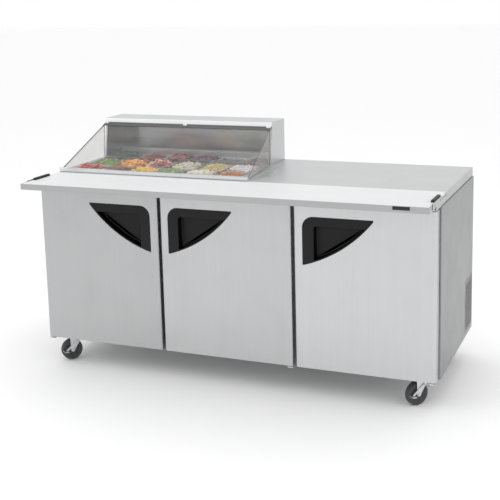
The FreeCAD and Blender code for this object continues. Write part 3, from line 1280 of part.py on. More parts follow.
doc.recompute()
os.makedirs("parts", exist_ok=True)
for obj in doc.Objects:
    if {"Invalid", "Error"} & set(obj.State):
        raise RuntimeError(f"{obj.Name} failed: {obj.State}")
for obj in NODES:
    if obj.Shape.isNull() or not obj.Shape.isValid():
        raise RuntimeError(f"{obj.Label} has no valid shape")
for obj in NODES:
    obj.Shape.exportStep(f"parts/{obj.Label}.step")
    print(obj.Label, len(obj.Shape.Solids), round(obj.Shape.Volume / 1000), "cm3")
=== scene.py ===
"""Three-door sandwich prep table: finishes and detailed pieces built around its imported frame, in metres."""
import json
import math

import bmesh
import bpy
import numpy as np
from mathutils import Matrix, Vector


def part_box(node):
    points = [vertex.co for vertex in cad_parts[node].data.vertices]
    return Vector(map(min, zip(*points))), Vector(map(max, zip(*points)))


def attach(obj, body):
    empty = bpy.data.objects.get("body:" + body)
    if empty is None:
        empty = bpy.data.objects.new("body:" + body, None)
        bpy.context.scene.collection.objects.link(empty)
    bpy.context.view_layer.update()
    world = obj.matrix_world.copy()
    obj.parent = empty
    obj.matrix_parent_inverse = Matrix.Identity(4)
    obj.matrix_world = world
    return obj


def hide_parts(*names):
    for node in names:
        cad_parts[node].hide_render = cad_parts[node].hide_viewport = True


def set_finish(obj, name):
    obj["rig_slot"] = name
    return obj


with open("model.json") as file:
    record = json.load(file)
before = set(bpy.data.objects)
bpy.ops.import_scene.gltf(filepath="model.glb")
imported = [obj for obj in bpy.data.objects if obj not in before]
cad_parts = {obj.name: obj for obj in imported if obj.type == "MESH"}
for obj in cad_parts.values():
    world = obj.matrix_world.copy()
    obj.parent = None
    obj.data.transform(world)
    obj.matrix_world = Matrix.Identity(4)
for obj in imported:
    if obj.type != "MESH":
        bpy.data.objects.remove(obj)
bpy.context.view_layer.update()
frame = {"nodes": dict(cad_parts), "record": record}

bl_info = {
    "name": "Sandwich Prep Table",
    "version": (1, 0, 0),
    "blender": (4, 5, 0),
    "location": "3D View > Sidebar > Prep Table",
    "description": "Builds the finishes and detailed pieces of a refrigerated sandwich prep table",
    "category": "Object",
}

MM = 0.001
DOUBLES = 1e-6
BODY_OF = {node: body for body, nodes in frame["record"]["behaviour"]["bodies"].items() for node in nodes}
SLOT_OF = {row["node"]: row["material_slot"] for row in frame["record"]["subparts"]}
DOORS = {"left": -1, "middle": 1, "right": 1}


# Settings


def colour_setting(title, use, default):
    """A colour that a user may change."""
    return bpy.props.FloatVectorProperty(
        name=title, description=use, subtype="COLOR", size=3, default=default, min=0.0, max=1.0,
    )


def share_setting(title, use, default):
    """A number between nothing and one."""
    return bpy.props.FloatProperty(name=title, description=use, default=default, min=0.0, max=1.0, subtype="FACTOR")


def length_setting(title, use, default):
    """A length in millimetres."""
    return bpy.props.FloatProperty(name=title, description=use, default=default * MM, unit="LENGTH")


def power_setting(title, use, default):
    """A light's power."""
    return bpy.props.FloatProperty(name=title, description=use, default=default, min=0.0, unit="POWER")


class SteelSettings(bpy.types.PropertyGroup):
    """Sheet steel of the cabinet, doors, worktop and hood."""

    colour: colour_setting("Steel colour", "Base colour of the brushed sheet", (0.50, 0.503, 0.508))
    roughness: share_setting("Brushing", "Mean roughness of the brushed sheet", 0.34)
    edge: length_setting("Folded edge", "Radius of the folded sheet edges", 1.6)
    grain: length_setting("Grain spacing", "Distance between brushing lines", 1.1)


class PlasticSettings(bpy.types.PropertyGroup):
    """Moulded handles, cutting board and inner door panels."""

    handle: colour_setting("Handle colour", "Moulded hand pocket and board clips", (0.0095, 0.0095, 0.010))
    board: colour_setting("Board colour", "Cutting board", (0.68, 0.685, 0.69))
    liner: colour_setting("Liner colour", "Inner door panels", (0.70, 0.715, 0.73))


class LidSettings(bpy.types.PropertyGroup):
    """Clear lid."""

    haze: share_setting("Haze", "Least roughness of the clear sheet", 0.04)


class FoodSettings(bpy.types.PropertyGroup):
    """Food in the pans."""

    fill: length_setting("Fill height", "Food surface below the pan's rim", 6)
    seed: bpy.props.IntProperty(name="Seed", description="Arrangement of the food", default=11, min=0)


class StageSettings(bpy.types.PropertyGroup):
    """Floor, lights and camera."""

    floor: colour_setting("Floor colour", "Plain pale floor", (0.975, 0.975, 0.975))
    key: power_setting("Key light", "Power of the main light", 34.0)
    fill: power_setting("Fill light", "Power of the side light", 16.0)
    sky: bpy.props.FloatProperty(name="Surround", description="Strength of the surround", default=1.0, min=0.0)
    lens: bpy.props.FloatProperty(
        name="Lens", description="Focal length on a 36 mm sensor", default=72.95, subtype="DISTANCE_CAMERA",
    )


GROUPS = {
    "prep_steel": SteelSettings,
    "prep_plastic": PlasticSettings,
    "prep_lid": LidSettings,
    "prep_food": FoodSettings,
    "prep_stage": StageSettings,
}


# Material building blocks


class Finish:
    """A material under construction: its node tree, its shader and its object coordinates."""

    def __init__(self, name):
        self.material = bpy.data.materials.new(name)
        self.material.use_nodes = True
        self.tree = self.material.node_tree
        self.tree.nodes.clear()
        self.shader = self.tree.nodes.new("ShaderNodeBsdfPrincipled")
        output = self.tree.nodes.new("ShaderNodeOutputMaterial")
        self.join(self.shader.outputs[0], output.inputs["Surface"])
        self.place = self.tree.nodes.new("ShaderNodeTexCoord").outputs["Object"]

    def join(self, source, target):
        self.tree.links.new(source, target)

    def add(self, kind, sockets=None, **settings):
        """A node with its settings, and its sockets joined to outputs or set to values."""
        node = self.tree.nodes.new(kind)
        for key, value in settings.items():
            setattr(node, key, value)
        for key, value in (sockets or {}).items():
            if isinstance(value, bpy.types.NodeSocket):
                self.join(value, node.inputs[key])
            else:
                node.inputs[key].default_value = value
        return node

    def stretched(self, scale, turn=(0.0, 0.0, 0.0)):
        """Object coordinates times a scale along each axis."""
        return self.add("ShaderNodeMapping", {"Vector": self.place, "Scale": scale, "Rotation": turn}).outputs[0]

    def noise(self, vector, scale, detail=2.0, roughness=0.5):
        sockets = {"Vector": vector, "Scale": scale, "Detail": detail, "Roughness": roughness}
        return self.add("ShaderNodeTexNoise", sockets).outputs["Fac"]

    def cells(self, vector, scale, feature="F1"):
        sockets = {"Vector": vector, "Scale": scale}
        return self.add("ShaderNodeTexVoronoi", sockets, feature=feature).outputs["Distance"]

    def ramp(self, value, low, high, to_low=0.0, to_high=1.0):
        """The value's stretch from low to high, mapped onto another stretch and held there."""
        sockets = {"Value": value, "From Min": low, "From Max": high, "To Min": to_low, "To Max": to_high}
        return self.add("ShaderNodeMapRange", sockets).outputs[0]

    def maths(self, operation, a, b):
        return self.add("ShaderNodeMath", {0: a, 1: b}, operation=operation).outputs[0]

    def blend(self, share, first, second):
        """Two colours mixed by a share."""
        node = self.add("ShaderNodeMix", {"Factor": share}, data_type="RGBA")
        for key, value in (("A", first), ("B", second)):
            socket = next(s for s in node.inputs if s.name == key and s.type == "RGBA")
            if isinstance(value, bpy.types.NodeSocket):
                self.join(value, socket)
            else:
                socket.default_value = (*value, 1.0)
        return next(s for s in node.outputs if s.type == "RGBA")

    def bump(self, height, strength, distance, normal=None):
        sockets = {"Height": height, "Strength": strength, "Distance": distance}
        if normal:
            sockets["Normal"] = normal
        return self.add("ShaderNodeBump", sockets).outputs[0]

    def wear(self, colour, roughness, normal=None, **sockets):
        """Join the shader's own sockets, or set them; a double underscore stands for a space."""
        self.join(colour, self.shader.inputs["Base Color"])
        self.join(roughness, self.shader.inputs["Roughness"])
        if normal:
            self.join(normal, self.shader.inputs["Normal"])
        for key, value in sockets.items():
            socket = self.shader.inputs[key.replace("__", " ")]
            if isinstance(value, bpy.types.NodeSocket):
                self.join(value, socket)
            else:
                socket.default_value = value
        return self.material

    def mottled(self, tone, colour, dark, light, low=0.3, high=0.7):
        """A colour that a pattern makes a little darker and lighter."""
        return self.blend(self.ramp(tone, low, high), shade(colour, dark), shade(colour, light))


def shade(colour, factor):
    """A colour made lighter or darker."""
    return tuple(min(1.0, max(0.0, c * factor)) for c in colour)


# Materials


# name: brushing axis, tone against the steel colour (painted light and shade: lighter where a surface is lit or shows
# a highlight, darker where it lies in shade), roughness on top of the mean, finger smears
SHEETS = {
    # Painted shade: the side panels are much darker than the fronts, as faces turned from the light.
    "SidePanels": ("Z", 0.60, 0.05, 0.5),
    "InsidePanels": ("X", 0.86, 0.04, 0.5),
    # Painted light: the doors grow lighter from left to right, as the light falls from the right.
    "DoorSteel_left": ("Z", 0.92, 0.04, 0.5),
    "DoorSteel_middle": ("Z", 1.04, 0.04, 0.5),
    "DoorSteel_right": ("Z", 1.18, 0.04, 0.5),
    "WorktopSteel": ("X", 1.12, 0.06, 0.5),
    # Painted shade: the worktop's upright folded edges are darker than its top, as faces turned from the light.
    "WorktopFoldShade": ("Y", 0.92, 0.04, 0.5),
    # Painted shade: the well under the pans is toned darker.
    "WellSteel": ("X", 0.80, 0.08, 0.5),
    # Painted reflection: the air bar is toned dark, as the dark food it reflects.
    "AirBarSteel": ("X", 0.62, -0.06, 0.5),
    "PanSteel": ("X", 1.05, -0.08, 0.8),
    "TraySteel": ("X", 0.84, 0.0, 0.5),
    "HoodSteel": ("X", 1.08, -0.02, 0.5),
    # Painted shade inside the hood, and a painted highlight on its front fold.
    "HoodInside": ("X", 0.60, -0.14, 0.5),
    "HoodFasciaHighlight": ("X", 1.75, -0.04, 0.5),
    "KnuckleSteel": ("X", 1.20, 0.0, 0.5),
    # Painted highlight: the front rail is toned far lighter than the rest of the steel.
    "RailSteel": ("X", 1.45, -0.06, 0.5),
    # Painted shade: the hinge rod is toned near black as the shadow line under the hood's front.
    "RodSteel": ("X", 0.22, 0.05, 0.5),
    # Painted shade: the vent grille is toned dark so the slotted vent reads dark.
    "GrilleSteel": ("Z", 0.34, 0.04, 0.5),
}


def brushed_steel(name):
    """Brushed stainless sheet, from its row in SHEETS: fine and coarse streaks along one axis change colour,
    roughness and height, a slow cloud gives finger smears, and a very slow wave makes the sheet slightly uneven."""
    along, tone, rough, grime = SHEETS[name]
    steel = bpy.context.scene.prep_steel
    f = Finish(name)
    fine, coarse, lengthwise = 1.0 / steel.grain, 0.12 / steel.grain, 5.0
    scale = [lengthwise if axis == along else fine for axis in "XYZ"]
    lines = f.noise(f.stretched(scale), 1.0, 3.0, 0.6)
    bands = f.noise(f.stretched([lengthwise * 0.4 if s == lengthwise else coarse for s in scale]), 1.0, 2.0)
    smears = f.noise(f.place, 6.5, 5.0, 0.62)
    dents = f.noise(f.place, 1.7, 1.0)
    # The row's tone paints light and shade into the colour: lit faces and highlights lighter, shaded faces darker.
    colour = shade(tuple(steel.colour), tone)
    base = f.mottled(lines, colour, 0.972, 1.025)
    base = f.blend(f.ramp(bands, 0.36, 0.64), base, shade(colour, 1.02))
    base = f.blend(f.ramp(smears, 0.52, 0.8, 0.0, 0.30 * grime), base, shade(colour, 0.80))
    mean = steel.roughness + rough
    shine = f.ramp(lines, 0.3, 0.7, mean - 0.05, mean + 0.05)
    shine = f.maths("ADD", shine, f.ramp(smears, 0.4, 0.75, -0.02, 0.11 * grime))
    shape = f.bump(lines, 0.05, 0.00012, f.bump(dents, 0.16, 0.03))
    return f.wear(base, shine, shape, Metallic=1.0)


def moulded_plastic(name, colour, rough=0.48, pebble=1.4, depth=0.16, scuff=0.5):
    """Moulded plastic: a pebbled skin, its size in millimetres, slow variation of tone and pale scuffs."""
    f = Finish(name)
    skin = f.cells(f.place, 1.0 / (pebble * MM), "SMOOTH_F1")
    tone = f.noise(f.place, 14.0, 4.0)
    scuffs = f.noise(f.stretched((90.0, 90.0, 18.0), (0.0, 0.5, 0.3)), 1.0, 4.0, 0.7)
    base = f.mottled(tone, colour, 0.88, 1.10, 0.35, 0.65)
    base = f.blend(f.ramp(scuffs, 0.66, 0.8, 0.0, 0.35 * scuff), base, tuple(c * 0.6 + 0.12 for c in colour))
    shine = f.ramp(tone, 0.3, 0.7, rough - 0.06, rough + 0.08)
    return f.wear(base, shine, f.bump(skin, depth, 0.0004))


def handle_plastic_with_pocket_shade(name, colour, face):
    """Handle: pebbled moulded plastic, with painted shade that turns the walls of the hand pocket near black. The
    depth behind the door's face tells the walls from the frame and from the pocket's floor."""
    f = Finish(name)
    skin = f.cells(f.place, 700.0, "SMOOTH_F1")
    tone = f.noise(f.place, 14.0, 4.0)
    inward = f.add("ShaderNodeSeparateXYZ", {"Vector": f.place}).outputs["Y"]
    mouth, wall, foot, floor = (face + depth * MM for depth in (1.5, 5.0, 29.4, 30.4))
    # Painted shade: the pocket's walls, and a little of its mouth, are darkened to near black as the shade in the
    # recess.
    walls = f.maths("MULTIPLY", f.ramp(inward, mouth, wall), f.ramp(inward, floor, foot))
    inside = f.maths("MAXIMUM", walls, f.ramp(inward, mouth, wall, 0.0, 0.12))
    base = f.mottled(tone, colour, 0.90, 1.10, 0.35, 0.65)
    base = f.blend(inside, base, shade(colour, 0.02))
    shine = f.maths("ADD", f.ramp(tone, 0.3, 0.7, 0.36, 0.48), f.maths("MULTIPLY", inside, 0.12))
    return f.wear(base, shine, f.bump(skin, 0.14, 0.0004), Specular__IOR__Level=0.22)


def board_plastic(name, colour):
    """Cutting board: satin white sheet with knife marks in several directions, denser near the middle."""
    f = Finish(name)
    marks = None
    for turn, spacing in ((0.12, 420.0), (-0.35, 300.0), (1.35, 380.0)):
        lines = f.noise(f.stretched((14.0, spacing, 40.0), (0.0, 0.0, turn)), 1.0, 3.0, 0.75)
        line = f.ramp(lines, 0.60, 0.72)
        marks = line if marks is None else f.maths("MAXIMUM", marks, line)
    worn = f.maths("MULTIPLY", marks, f.ramp(f.noise(f.place, 3.0, 3.0), 0.42, 0.62))
    stain = f.noise(f.place, 4.0, 4.0, 0.6)
    base = f.blend(f.ramp(stain, 0.4, 0.75, 0.0, 0.5), colour, shade(colour, 0.94))
    base = f.blend(f.maths("MULTIPLY", worn, 0.30), base, shade(colour, 0.80))
    return f.wear(base, f.ramp(stain, 0.3, 0.7, 0.40, 0.52), f.bump(worn, 0.35, -0.0004))


def clear_sheet(name, body, colour=(0.80, 0.81, 0.81)):
    """Clear moulded sheet: a thin grey body with hazy smears that cover a little more."""
    haze = bpy.context.scene.prep_lid.haze
    f = Finish(name)
    smears = f.noise(f.stretched((3.0, 9.0, 9.0)), 1.0, 5.0, 0.65)
    shine = f.ramp(smears, 0.42, 0.8, haze, haze + 0.10)
    tint = f.mottled(smears, colour, 1.0, 0.94, 0.4, 0.8)
    return f.wear(tint, shine, Alpha=f.ramp(smears, 0.4, 0.75, body, body + 0.06), IOR=1.49)


def rubber(name, colour):
    """Rubber: dusty matt surface with a fine grain."""
    f = Finish(name)
    grain = f.noise(f.place, 900.0, 2.0)
    dust = f.noise(f.place, 24.0, 5.0, 0.65)
    base = f.blend(f.ramp(dust, 0.45, 0.8, 0.0, 0.6), colour, tuple(c * 0.7 + 0.05 for c in colour))
    return f.wear(base, f.ramp(dust, 0.3, 0.8, 0.5, 0.7), f.bump(grain, 0.12, 0.0003))


def plated(name, colour=(0.66, 0.67, 0.69)):
    """Zinc plating: spangled tone, cloudy roughness and shallow dimples."""
    f = Finish(name)
    spangle = f.cells(f.place, 240.0)
    cloud = f.noise(f.place, 38.0, 4.0)
    base = f.mottled(spangle, colour, 0.84, 1.08, 0.1, 0.8)
    base = f.blend(f.ramp(cloud, 0.55, 0.8, 0.0, 0.5), base, shade(colour, 0.62))
    return f.wear(base, f.ramp(cloud, 0.3, 0.75, 0.24, 0.44), f.bump(cloud, 0.10, 0.0006), Metallic=1.0)


def coated_wire(name, colour=(0.72, 0.73, 0.74)):
    """Dipped coating on wire: glossy, slightly uneven."""
    f = Finish(name)
    sag = f.noise(f.place, 160.0, 2.0)
    tone = f.noise(f.place, 9.0, 3.0)
    base = f.mottled(tone, colour, 0.90, 1.06)
    return f.wear(base, f.ramp(sag, 0.3, 0.7, 0.22, 0.36), f.bump(sag, 0.2, 0.0005), Coat__Weight=0.3)


def coil_metal(name, along):
    """Thin aluminium fins edge on: light fin edges striped with painted shade in the gaps between them, and dust on
    top.
    """
    f = Finish(name)
    fins = f.noise(f.stretched([1500.0 if axis == along else 1.0 for axis in "XYZ"]), 1.0, 0.0)
    dust = f.noise(f.place, 30.0, 4.0)
    # Painted shade: the dark stripes stand for the shade in the gaps between the fins.
    base = f.blend(f.ramp(fins, 0.42, 0.58), (0.20, 0.20, 0.21), (0.62, 0.63, 0.65))
    base = f.blend(f.ramp(dust, 0.5, 0.8, 0.0, 0.6), base, (0.30, 0.29, 0.27))
    return f.wear(base, f.ramp(dust, 0.3, 0.7, 0.32, 0.55), f.bump(fins, 0.6, 0.0006), Metallic=0.85)


def black_paint(name):
    """Baked black paint on the machine parts: orange peel and dust on top."""
    f = Finish(name)
    peel = f.noise(f.place, 420.0, 2.0)
    dust = f.noise(f.place, 18.0, 5.0)
    base = f.blend(f.ramp(dust, 0.5, 0.8, 0.0, 0.5), (0.018, 0.018, 0.020), (0.10, 0.095, 0.09))
    return f.wear(base, f.ramp(dust, 0.3, 0.7, 0.28, 0.5), f.bump(peel, 0.15, 0.0004), Coat__Weight=0.25)


def food(name, low, high, scale):
    """Food: two tones in a mottled pattern, moist in places, with a fine broken surface."""
    f = Finish(name)
    mottle = f.noise(f.place, scale, 5.0, 0.6)
    patch = f.noise(f.place, scale * 0.22, 3.0)
    base = f.blend(f.ramp(mottle, 0.35, 0.65), low, high)
    base = f.blend(f.ramp(patch, 0.5, 0.7, 0.0, 0.5), base, shade(low, 0.75))
    shine = f.ramp(patch, 0.35, 0.65, 0.35, 0.70)
    return f.wear(base, shine, f.bump(mottle, 0.5, 0.0015), Subsurface__Weight=0.12, Subsurface__Scale=0.004)


def plain_floor(name):
    """Pale floor: almost even, with a faint cloud."""
    f = Finish(name)
    cloud = f.noise(f.place, 1.2, 3.0)
    base = f.mottled(cloud, tuple(bpy.context.scene.prep_stage.floor), 0.995, 1.0)
    return f.wear(base, f.ramp(cloud, 0.3, 0.7, 0.62, 0.7), Specular__IOR__Level=0.25)


# Surfaces


def shell(rings, first=True, last=True):
    """A closed skin through rings of points, an array of (ring, point, 3): each ring joins the next, each ring
    joins up with itself, and flat faces close the first and last ring."""
    rings = np.asarray(rings, float)
    count, size = rings.shape[:2]
    index = np.arange(count * size).reshape(count, size)
    across = np.roll(index, -1, axis=1)
    faces = np.stack([index[:-1], across[:-1], across[1:], index[1:]], axis=-1).reshape(-1, 4).tolist()
    if first:
        faces.append(index[0, ::-1].tolist())
    if last:
        faces.append(index[-1].tolist())
    return rings.reshape(-1, 3), faces


def gathered(shells):
    """Several skins as one list of points and faces."""
    points, faces, start = [], [], 0
    for part_points, part_faces in shells:
        points.append(part_points)
        faces += [[start + i for i in face] for face in part_faces]
        start += len(part_points)
    return np.concatenate(points), faces


def moved(part, offset, axes=None):
    """A skin turned onto three axes, given as rows, and shifted."""
    points, faces = part
    if axes is not None:
        points = points @ np.asarray(axes, float)
    return points + np.asarray(offset, float), faces


def piece(name, part, node, material, angle=50.0, extra=None, stands_in=True):
    """A finished piece on a frame node's body, doubles merged and faces turned outwards. It stands in for the node
    unless told not to, and without a node it rides on the cabinet."""
    points, faces = part
    mesh = bpy.data.meshes.new(name)
    mesh.from_pydata(points.tolist(), [], faces)
    work = bmesh.new()
    work.from_mesh(mesh)
    bmesh.ops.remove_doubles(work, verts=work.verts, dist=DOUBLES)
    bmesh.ops.recalc_face_normals(work, faces=work.faces)
    work.to_mesh(mesh)
    work.free()
    placed(name, mesh, node, material, angle, extra, stands_in)


def settled(mesh, angle):
    """Corner normals for flat faces and round edges: at each corner, the mean normal of the faces round its point
    that turn less than the angle from its own face, each weighted by its area."""
    faces, corners = len(mesh.polygons), len(mesh.loops)
    area, normal = np.empty(faces), np.empty(faces * 3)
    point, size = np.empty(corners, int), np.empty(faces, int)
    mesh.polygons.foreach_get("area", area)
    mesh.polygons.foreach_get("normal", normal)
    mesh.polygons.foreach_get("loop_total", size)
    mesh.loops.foreach_get("vertex_index", point)
    normal = normal.reshape(-1, 3)
    face = np.repeat(np.arange(faces), size)
    order = np.argsort(point, kind="stable")
    count = np.bincount(point)
    first = np.cumsum(count) - count
    place = np.empty(corners, int)
    place[order] = np.arange(corners)
    step = place - first[point]
    mean = np.zeros((corners, 3))
    for shift in range(count.max()):
        live = shift < count[point]
        other = face[order[first[point] + (step + shift) % count[point]]]
        near = live & (np.einsum("ij,ij->i", normal[face], normal[other]) > math.cos(math.radians(angle)))
        mean += np.where(near, area[other], 0.0)[:, None] * normal[other]
    mean /= np.maximum(np.linalg.norm(mean, axis=1, keepdims=True), 1e-12)
    mesh.normals_split_custom_set(mean.tolist())


def placed(name, mesh, node, material, angle, extra=None, stands_in=True):
    """An object for a mesh that is already in place, riding on its node's body. Extra materials go on the faces that
    a rule numbers from their centres, in millimetres, and their normals."""
    mesh.shade_smooth()
    settled(mesh, angle)
    obj = bpy.data.objects.new(name, mesh)
    bpy.context.scene.collection.objects.link(obj)
    mesh.materials.append(material)
    if extra:
        others, rule = extra
        for other in others:
            mesh.materials.append(other)
        centre, normal = np.empty(len(mesh.polygons) * 3), np.empty(len(mesh.polygons) * 3)
        mesh.polygons.foreach_get("center", centre)
        mesh.polygons.foreach_get("normal", normal)
        picked = rule(centre.reshape(-1, 3) / MM, normal.reshape(-1, 3))
        mesh.polygons.foreach_set("material_index", picked.astype(np.int32))
    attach(obj, BODY_OF.get(node, "cabinet"))
    if node:
        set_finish(obj, SLOT_OF[node])
        if stands_in:
            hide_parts(node)


def softened(node, material, width, steps=2, angle=50.0, extra=None):
    """A copy of a frame node with its triangles merged into whole faces and its edges rounded by a width in
    millimetres."""
    work = bmesh.new()
    work.from_mesh(frame["nodes"][node].data)
    bmesh.ops.remove_doubles(work, verts=work.verts, dist=DOUBLES)
    bmesh.ops.dissolve_limit(
        work, angle_limit=math.radians(0.6), verts=work.verts, edges=work.edges, use_dissolve_boundaries=False,
    )
    sharp = [e for e in work.edges if len(e.link_faces) == 2 and e.calc_face_angle() > math.radians(angle)]
    bmesh.ops.bevel(
        work, geom=sharp, offset=width * MM, segments=steps, profile=0.5, affect="EDGES", clamp_overlap=True,
    )
    name = f"{node}_folded"
    mesh = bpy.data.meshes.new(name)
    work.to_mesh(mesh)
    work.free()
    placed(name, mesh, node, material, angle, extra)


def finish_node(node, material):
    """A frame node that keeps its own mesh and gets a better finish."""
    data = frame["nodes"][node].data
    data.materials.clear()
    data.materials.append(material)
    frame["nodes"][node]["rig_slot"] = SLOT_OF[node]


def rounded_rectangle(half_x, half_y, radius, steps=6):
    """A rectangle with round corners: four quarter circles, each moved out to its own corner."""
    turn = np.linspace(0.0, math.pi / 2, steps)
    quarter = np.arange(4)[:, None]
    angle = (turn + quarter * math.pi / 2).ravel()
    corner_x = np.repeat(np.array([1, -1, -1, 1]) * (half_x - radius), steps)
    corner_y = np.repeat(np.array([1, 1, -1, -1]) * (half_y - radius), steps)
    return np.stack([corner_x + radius * np.cos(angle), corner_y + radius * np.sin(angle)], axis=-1)


def stack(outlines, heights):
    """Flat outlines, an array of (ring, point, 2), each at its own height."""
    outlines = np.asarray(outlines, float)
    heights = np.broadcast_to(np.asarray(heights, float)[:, None, None], (*outlines.shape[:2], 1))
    return np.concatenate([outlines, heights], axis=-1)


def soft_block(low, high, radius, steps=3):
    """A block with every edge round: a sphere whose eight parts are pulled apart to the block's corners. The height
    angle runs from pole to pole, and at each height the ring is a rectangle with round corners."""
    low, high = np.asarray(low, float), np.asarray(high, float)
    half = (high - low) / 2
    radius = min(radius, half.min() * 0.999)
    lift = np.concatenate([np.linspace(-math.pi / 2, 0, steps + 1), np.linspace(0, math.pi / 2, steps + 1)])
    side = np.repeat([-1.0, 1.0], steps + 1)
    rings = [
        rounded_rectangle(half[0] - radius + r, half[1] - radius + r, max(r, 1e-7), steps + 2)
        for r in radius * np.cos(lift)
    ]
    return moved(shell(stack(rings, side * (half[2] - radius) + radius * np.sin(lift))), (low + high) / 2)


def spun(profile, steps, start=0.0, ends=False):
    """A profile of (radius, height) points, in millimetres, carried once round the third axis."""
    radius, height = np.asarray(profile, float).T[:, :, None] * MM
    angle = np.linspace(0.0, math.tau, steps, endpoint=False) + start
    x, y = radius * np.cos(angle), radius * np.sin(angle)
    return shell(np.stack([x, y, np.broadcast_to(height, x.shape)], axis=-1), ends, ends)


def turned(profile, centre=(0.0, 0.0, 0.0), steps=48):
    """A spun profile with flat ends, at a place."""
    return moved(spun(profile, steps, math.pi / 4, True), centre)


def tube(path, radius, steps=10):
    """A round bar along a path: at each point a circle in the plane square to the path's direction."""
    along = np.gradient(path, axis=0)
    along /= np.linalg.norm(along, axis=1, keepdims=True)
    side = np.cross(along, (0.0, 0.0, 1.0))
    side /= np.linalg.norm(side, axis=1, keepdims=True)
    up = np.cross(side, along)
    angle = np.linspace(0.0, math.tau, steps, endpoint=False)
    circle = side[:, None] * np.cos(angle)[None, :, None] + up[:, None] * np.sin(angle)[None, :, None]
    return shell(path[:, None] + radius * circle)


def inset(outline, distance):
    """An anticlockwise outline moved inwards, each point along the mean normal of its two sides."""
    ahead = np.roll(outline, -1, axis=0) - outline
    behind = outline - np.roll(outline, 1, axis=0)
    ahead /= np.maximum(np.linalg.norm(ahead, axis=1, keepdims=True), 1e-12)
    behind /= np.maximum(np.linalg.norm(behind, axis=1, keepdims=True), 1e-12)
    tangent = ahead + behind
    tangent /= np.maximum(np.linalg.norm(tangent, axis=1, keepdims=True), 1e-12)
    normal = np.stack([-tangent[:, 1], tangent[:, 0]], axis=-1)
    return outline + normal * distance


def plate(outline, low, high, edge):
    """A flat plate with rounded rims: its anticlockwise outline at four heights, moved in at the first and last."""
    outline = np.asarray(outline, float)
    tight = inset(outline, edge)
    return shell(stack([tight, outline, outline, tight], [low, low + edge, high - edge, high]))


def arc(start, end, radius, steps):
    """Points from start to end along the short circle arc of a radius, with its centre on the left of the way."""
    start, end = np.asarray(start, float), np.asarray(end, float)
    chord = end - start
    length = np.linalg.norm(chord)
    left = np.array([-chord[1], chord[0]]) / length
    centre = (start + end) / 2 + left * math.sqrt(radius ** 2 - length ** 2 / 4)
    first = math.atan2(*(start - centre)[::-1])
    sweep = 2 * math.asin(length / 2 / radius)
    angle = np.linspace(first, first + sweep, steps)
    return centre + radius * np.stack([np.cos(angle), np.sin(angle)], axis=-1)


def box_of(node):
    low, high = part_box(node)
    return np.array(low), np.array(high)


def surface(points):
    """An open surface through a grid of points, an array of (row, column, 3)."""
    index = np.arange(points.shape[0] * points.shape[1]).reshape(points.shape[:2])
    faces = np.stack([index[:-1, :-1], index[1:, :-1], index[1:, 1:], index[:-1, 1:]], axis=-1).reshape(-1, 4)
    return points.reshape(-1, 3), faces.tolist()


def framed(low, high, rows):
    """Upright rings round the middle of a door's box: a rectangle with round corners for each row of step in from
    the rim, corner radius and depth."""
    centre, half = (low + high) / 2, (high - low) / 2
    rings = []
    for step, corner, depth, points in rows:
        line = rounded_rectangle(half[0] - step, half[2] - step, corner, points)
        rings.append(np.insert(line + centre[[0, 2]], 1, depth, axis=1))
    return rings


# Doors


HANDLE_AXES = {1: ((1, 0, 0), (0, 0, 1), (0, -1, 0)), -1: ((-1, 0, 0), (0, 0, 1), (0, -1, 0))}


def handle_part(low, high, way):
    """Recessed handle: one skin through rings of the same number of points. The outer outline (round corner, bowed
    edge) gives the flange; the pocket outline gives the mouth, the draughted wall and the floor with a soft foot.
    Local axes: u from the door's opening edge, v up, w out of the door. Millimetres inside."""
    width, front, height = (high - low) / MM
    corner, tip, bow = 48, 7, 590
    side, top, small, lip, step = 50, 40, 12, 6, 0.4
    outer = np.concatenate([
        arc((tip, 0), (width, height - tip), bow, 25),
        [(width, height)],
        arc((corner, height), (0, height - corner), corner, 15),
        [(0, 0)],
    ])
    across, rise = width - tip, height - tip
    chord = math.hypot(across, rise)
    deep = math.sqrt(bow ** 2 - chord ** 2 / 4)
    centre_u = tip + across / 2 - rise / chord * deep
    centre_v = rise / 2 + across / chord * deep
    foot = centre_v - math.sqrt((bow - lip) ** 2 - (side - centre_u) ** 2)
    run = centre_u + math.sqrt((bow - lip) ** 2 - (height - top - centre_v) ** 2)
    mouth = np.concatenate([
        arc((side, foot), (run, height - top), bow - lip, 25),
        [(run - step, height - top)],
        arc((side + small, height - top), (side, height - top - small), small, 15),
        [(side, foot + step)],
    ])
    rings = [
        (outer, 0.6, 0.0), (outer, 0.0, 1.0), (outer, 0.0, front - 2.2), (outer, 0.5, front - 1.1),
        (outer, 2.0, front - 0.35), (mouth, -2.2, front - 0.35), (mouth, -0.8, front - 1.1),
        (mouth, 0.0, front - 3.0), (mouth, 1.2, front - 12.0), (mouth, 2.4, 7.0), (mouth, 5.0, 4.2),
        (mouth, 8.0, 3.4),
    ]
    part = shell(stack([inset(line, by) for line, by, _ in rings], [rise for *_, rise in rings]) * MM)
    return moved(part, (low[0] if way > 0 else high[0], high[1], low[2]), HANDLE_AXES[way])


def gasket_part(low, high):
    """Door gasket: a bellows section carried round a rectangle with small round corners. Across the section the depth
    goes out and back in three folds while the inset from the rim grows."""
    section = np.array([
        (0.0, 0.0), (0.0, 0.22), (1.4, 0.36), (0.2, 0.52), (1.2, 0.72), (0.8, 0.94), (3.5, 1.0), (8.5, 1.0),
        (11.2, 0.94), (10.8, 0.72), (11.8, 0.52), (10.6, 0.36), (12.0, 0.22), (12.0, 0.0), (0.0, 0.0),
    ])
    corner, reach = 14, high[1] - low[1]
    rows = [(step * MM, (corner - step * 0.9) * MM, low[1] + share * reach, 5) for step, share in section]
    return shell(framed(low, high, rows), False, False)


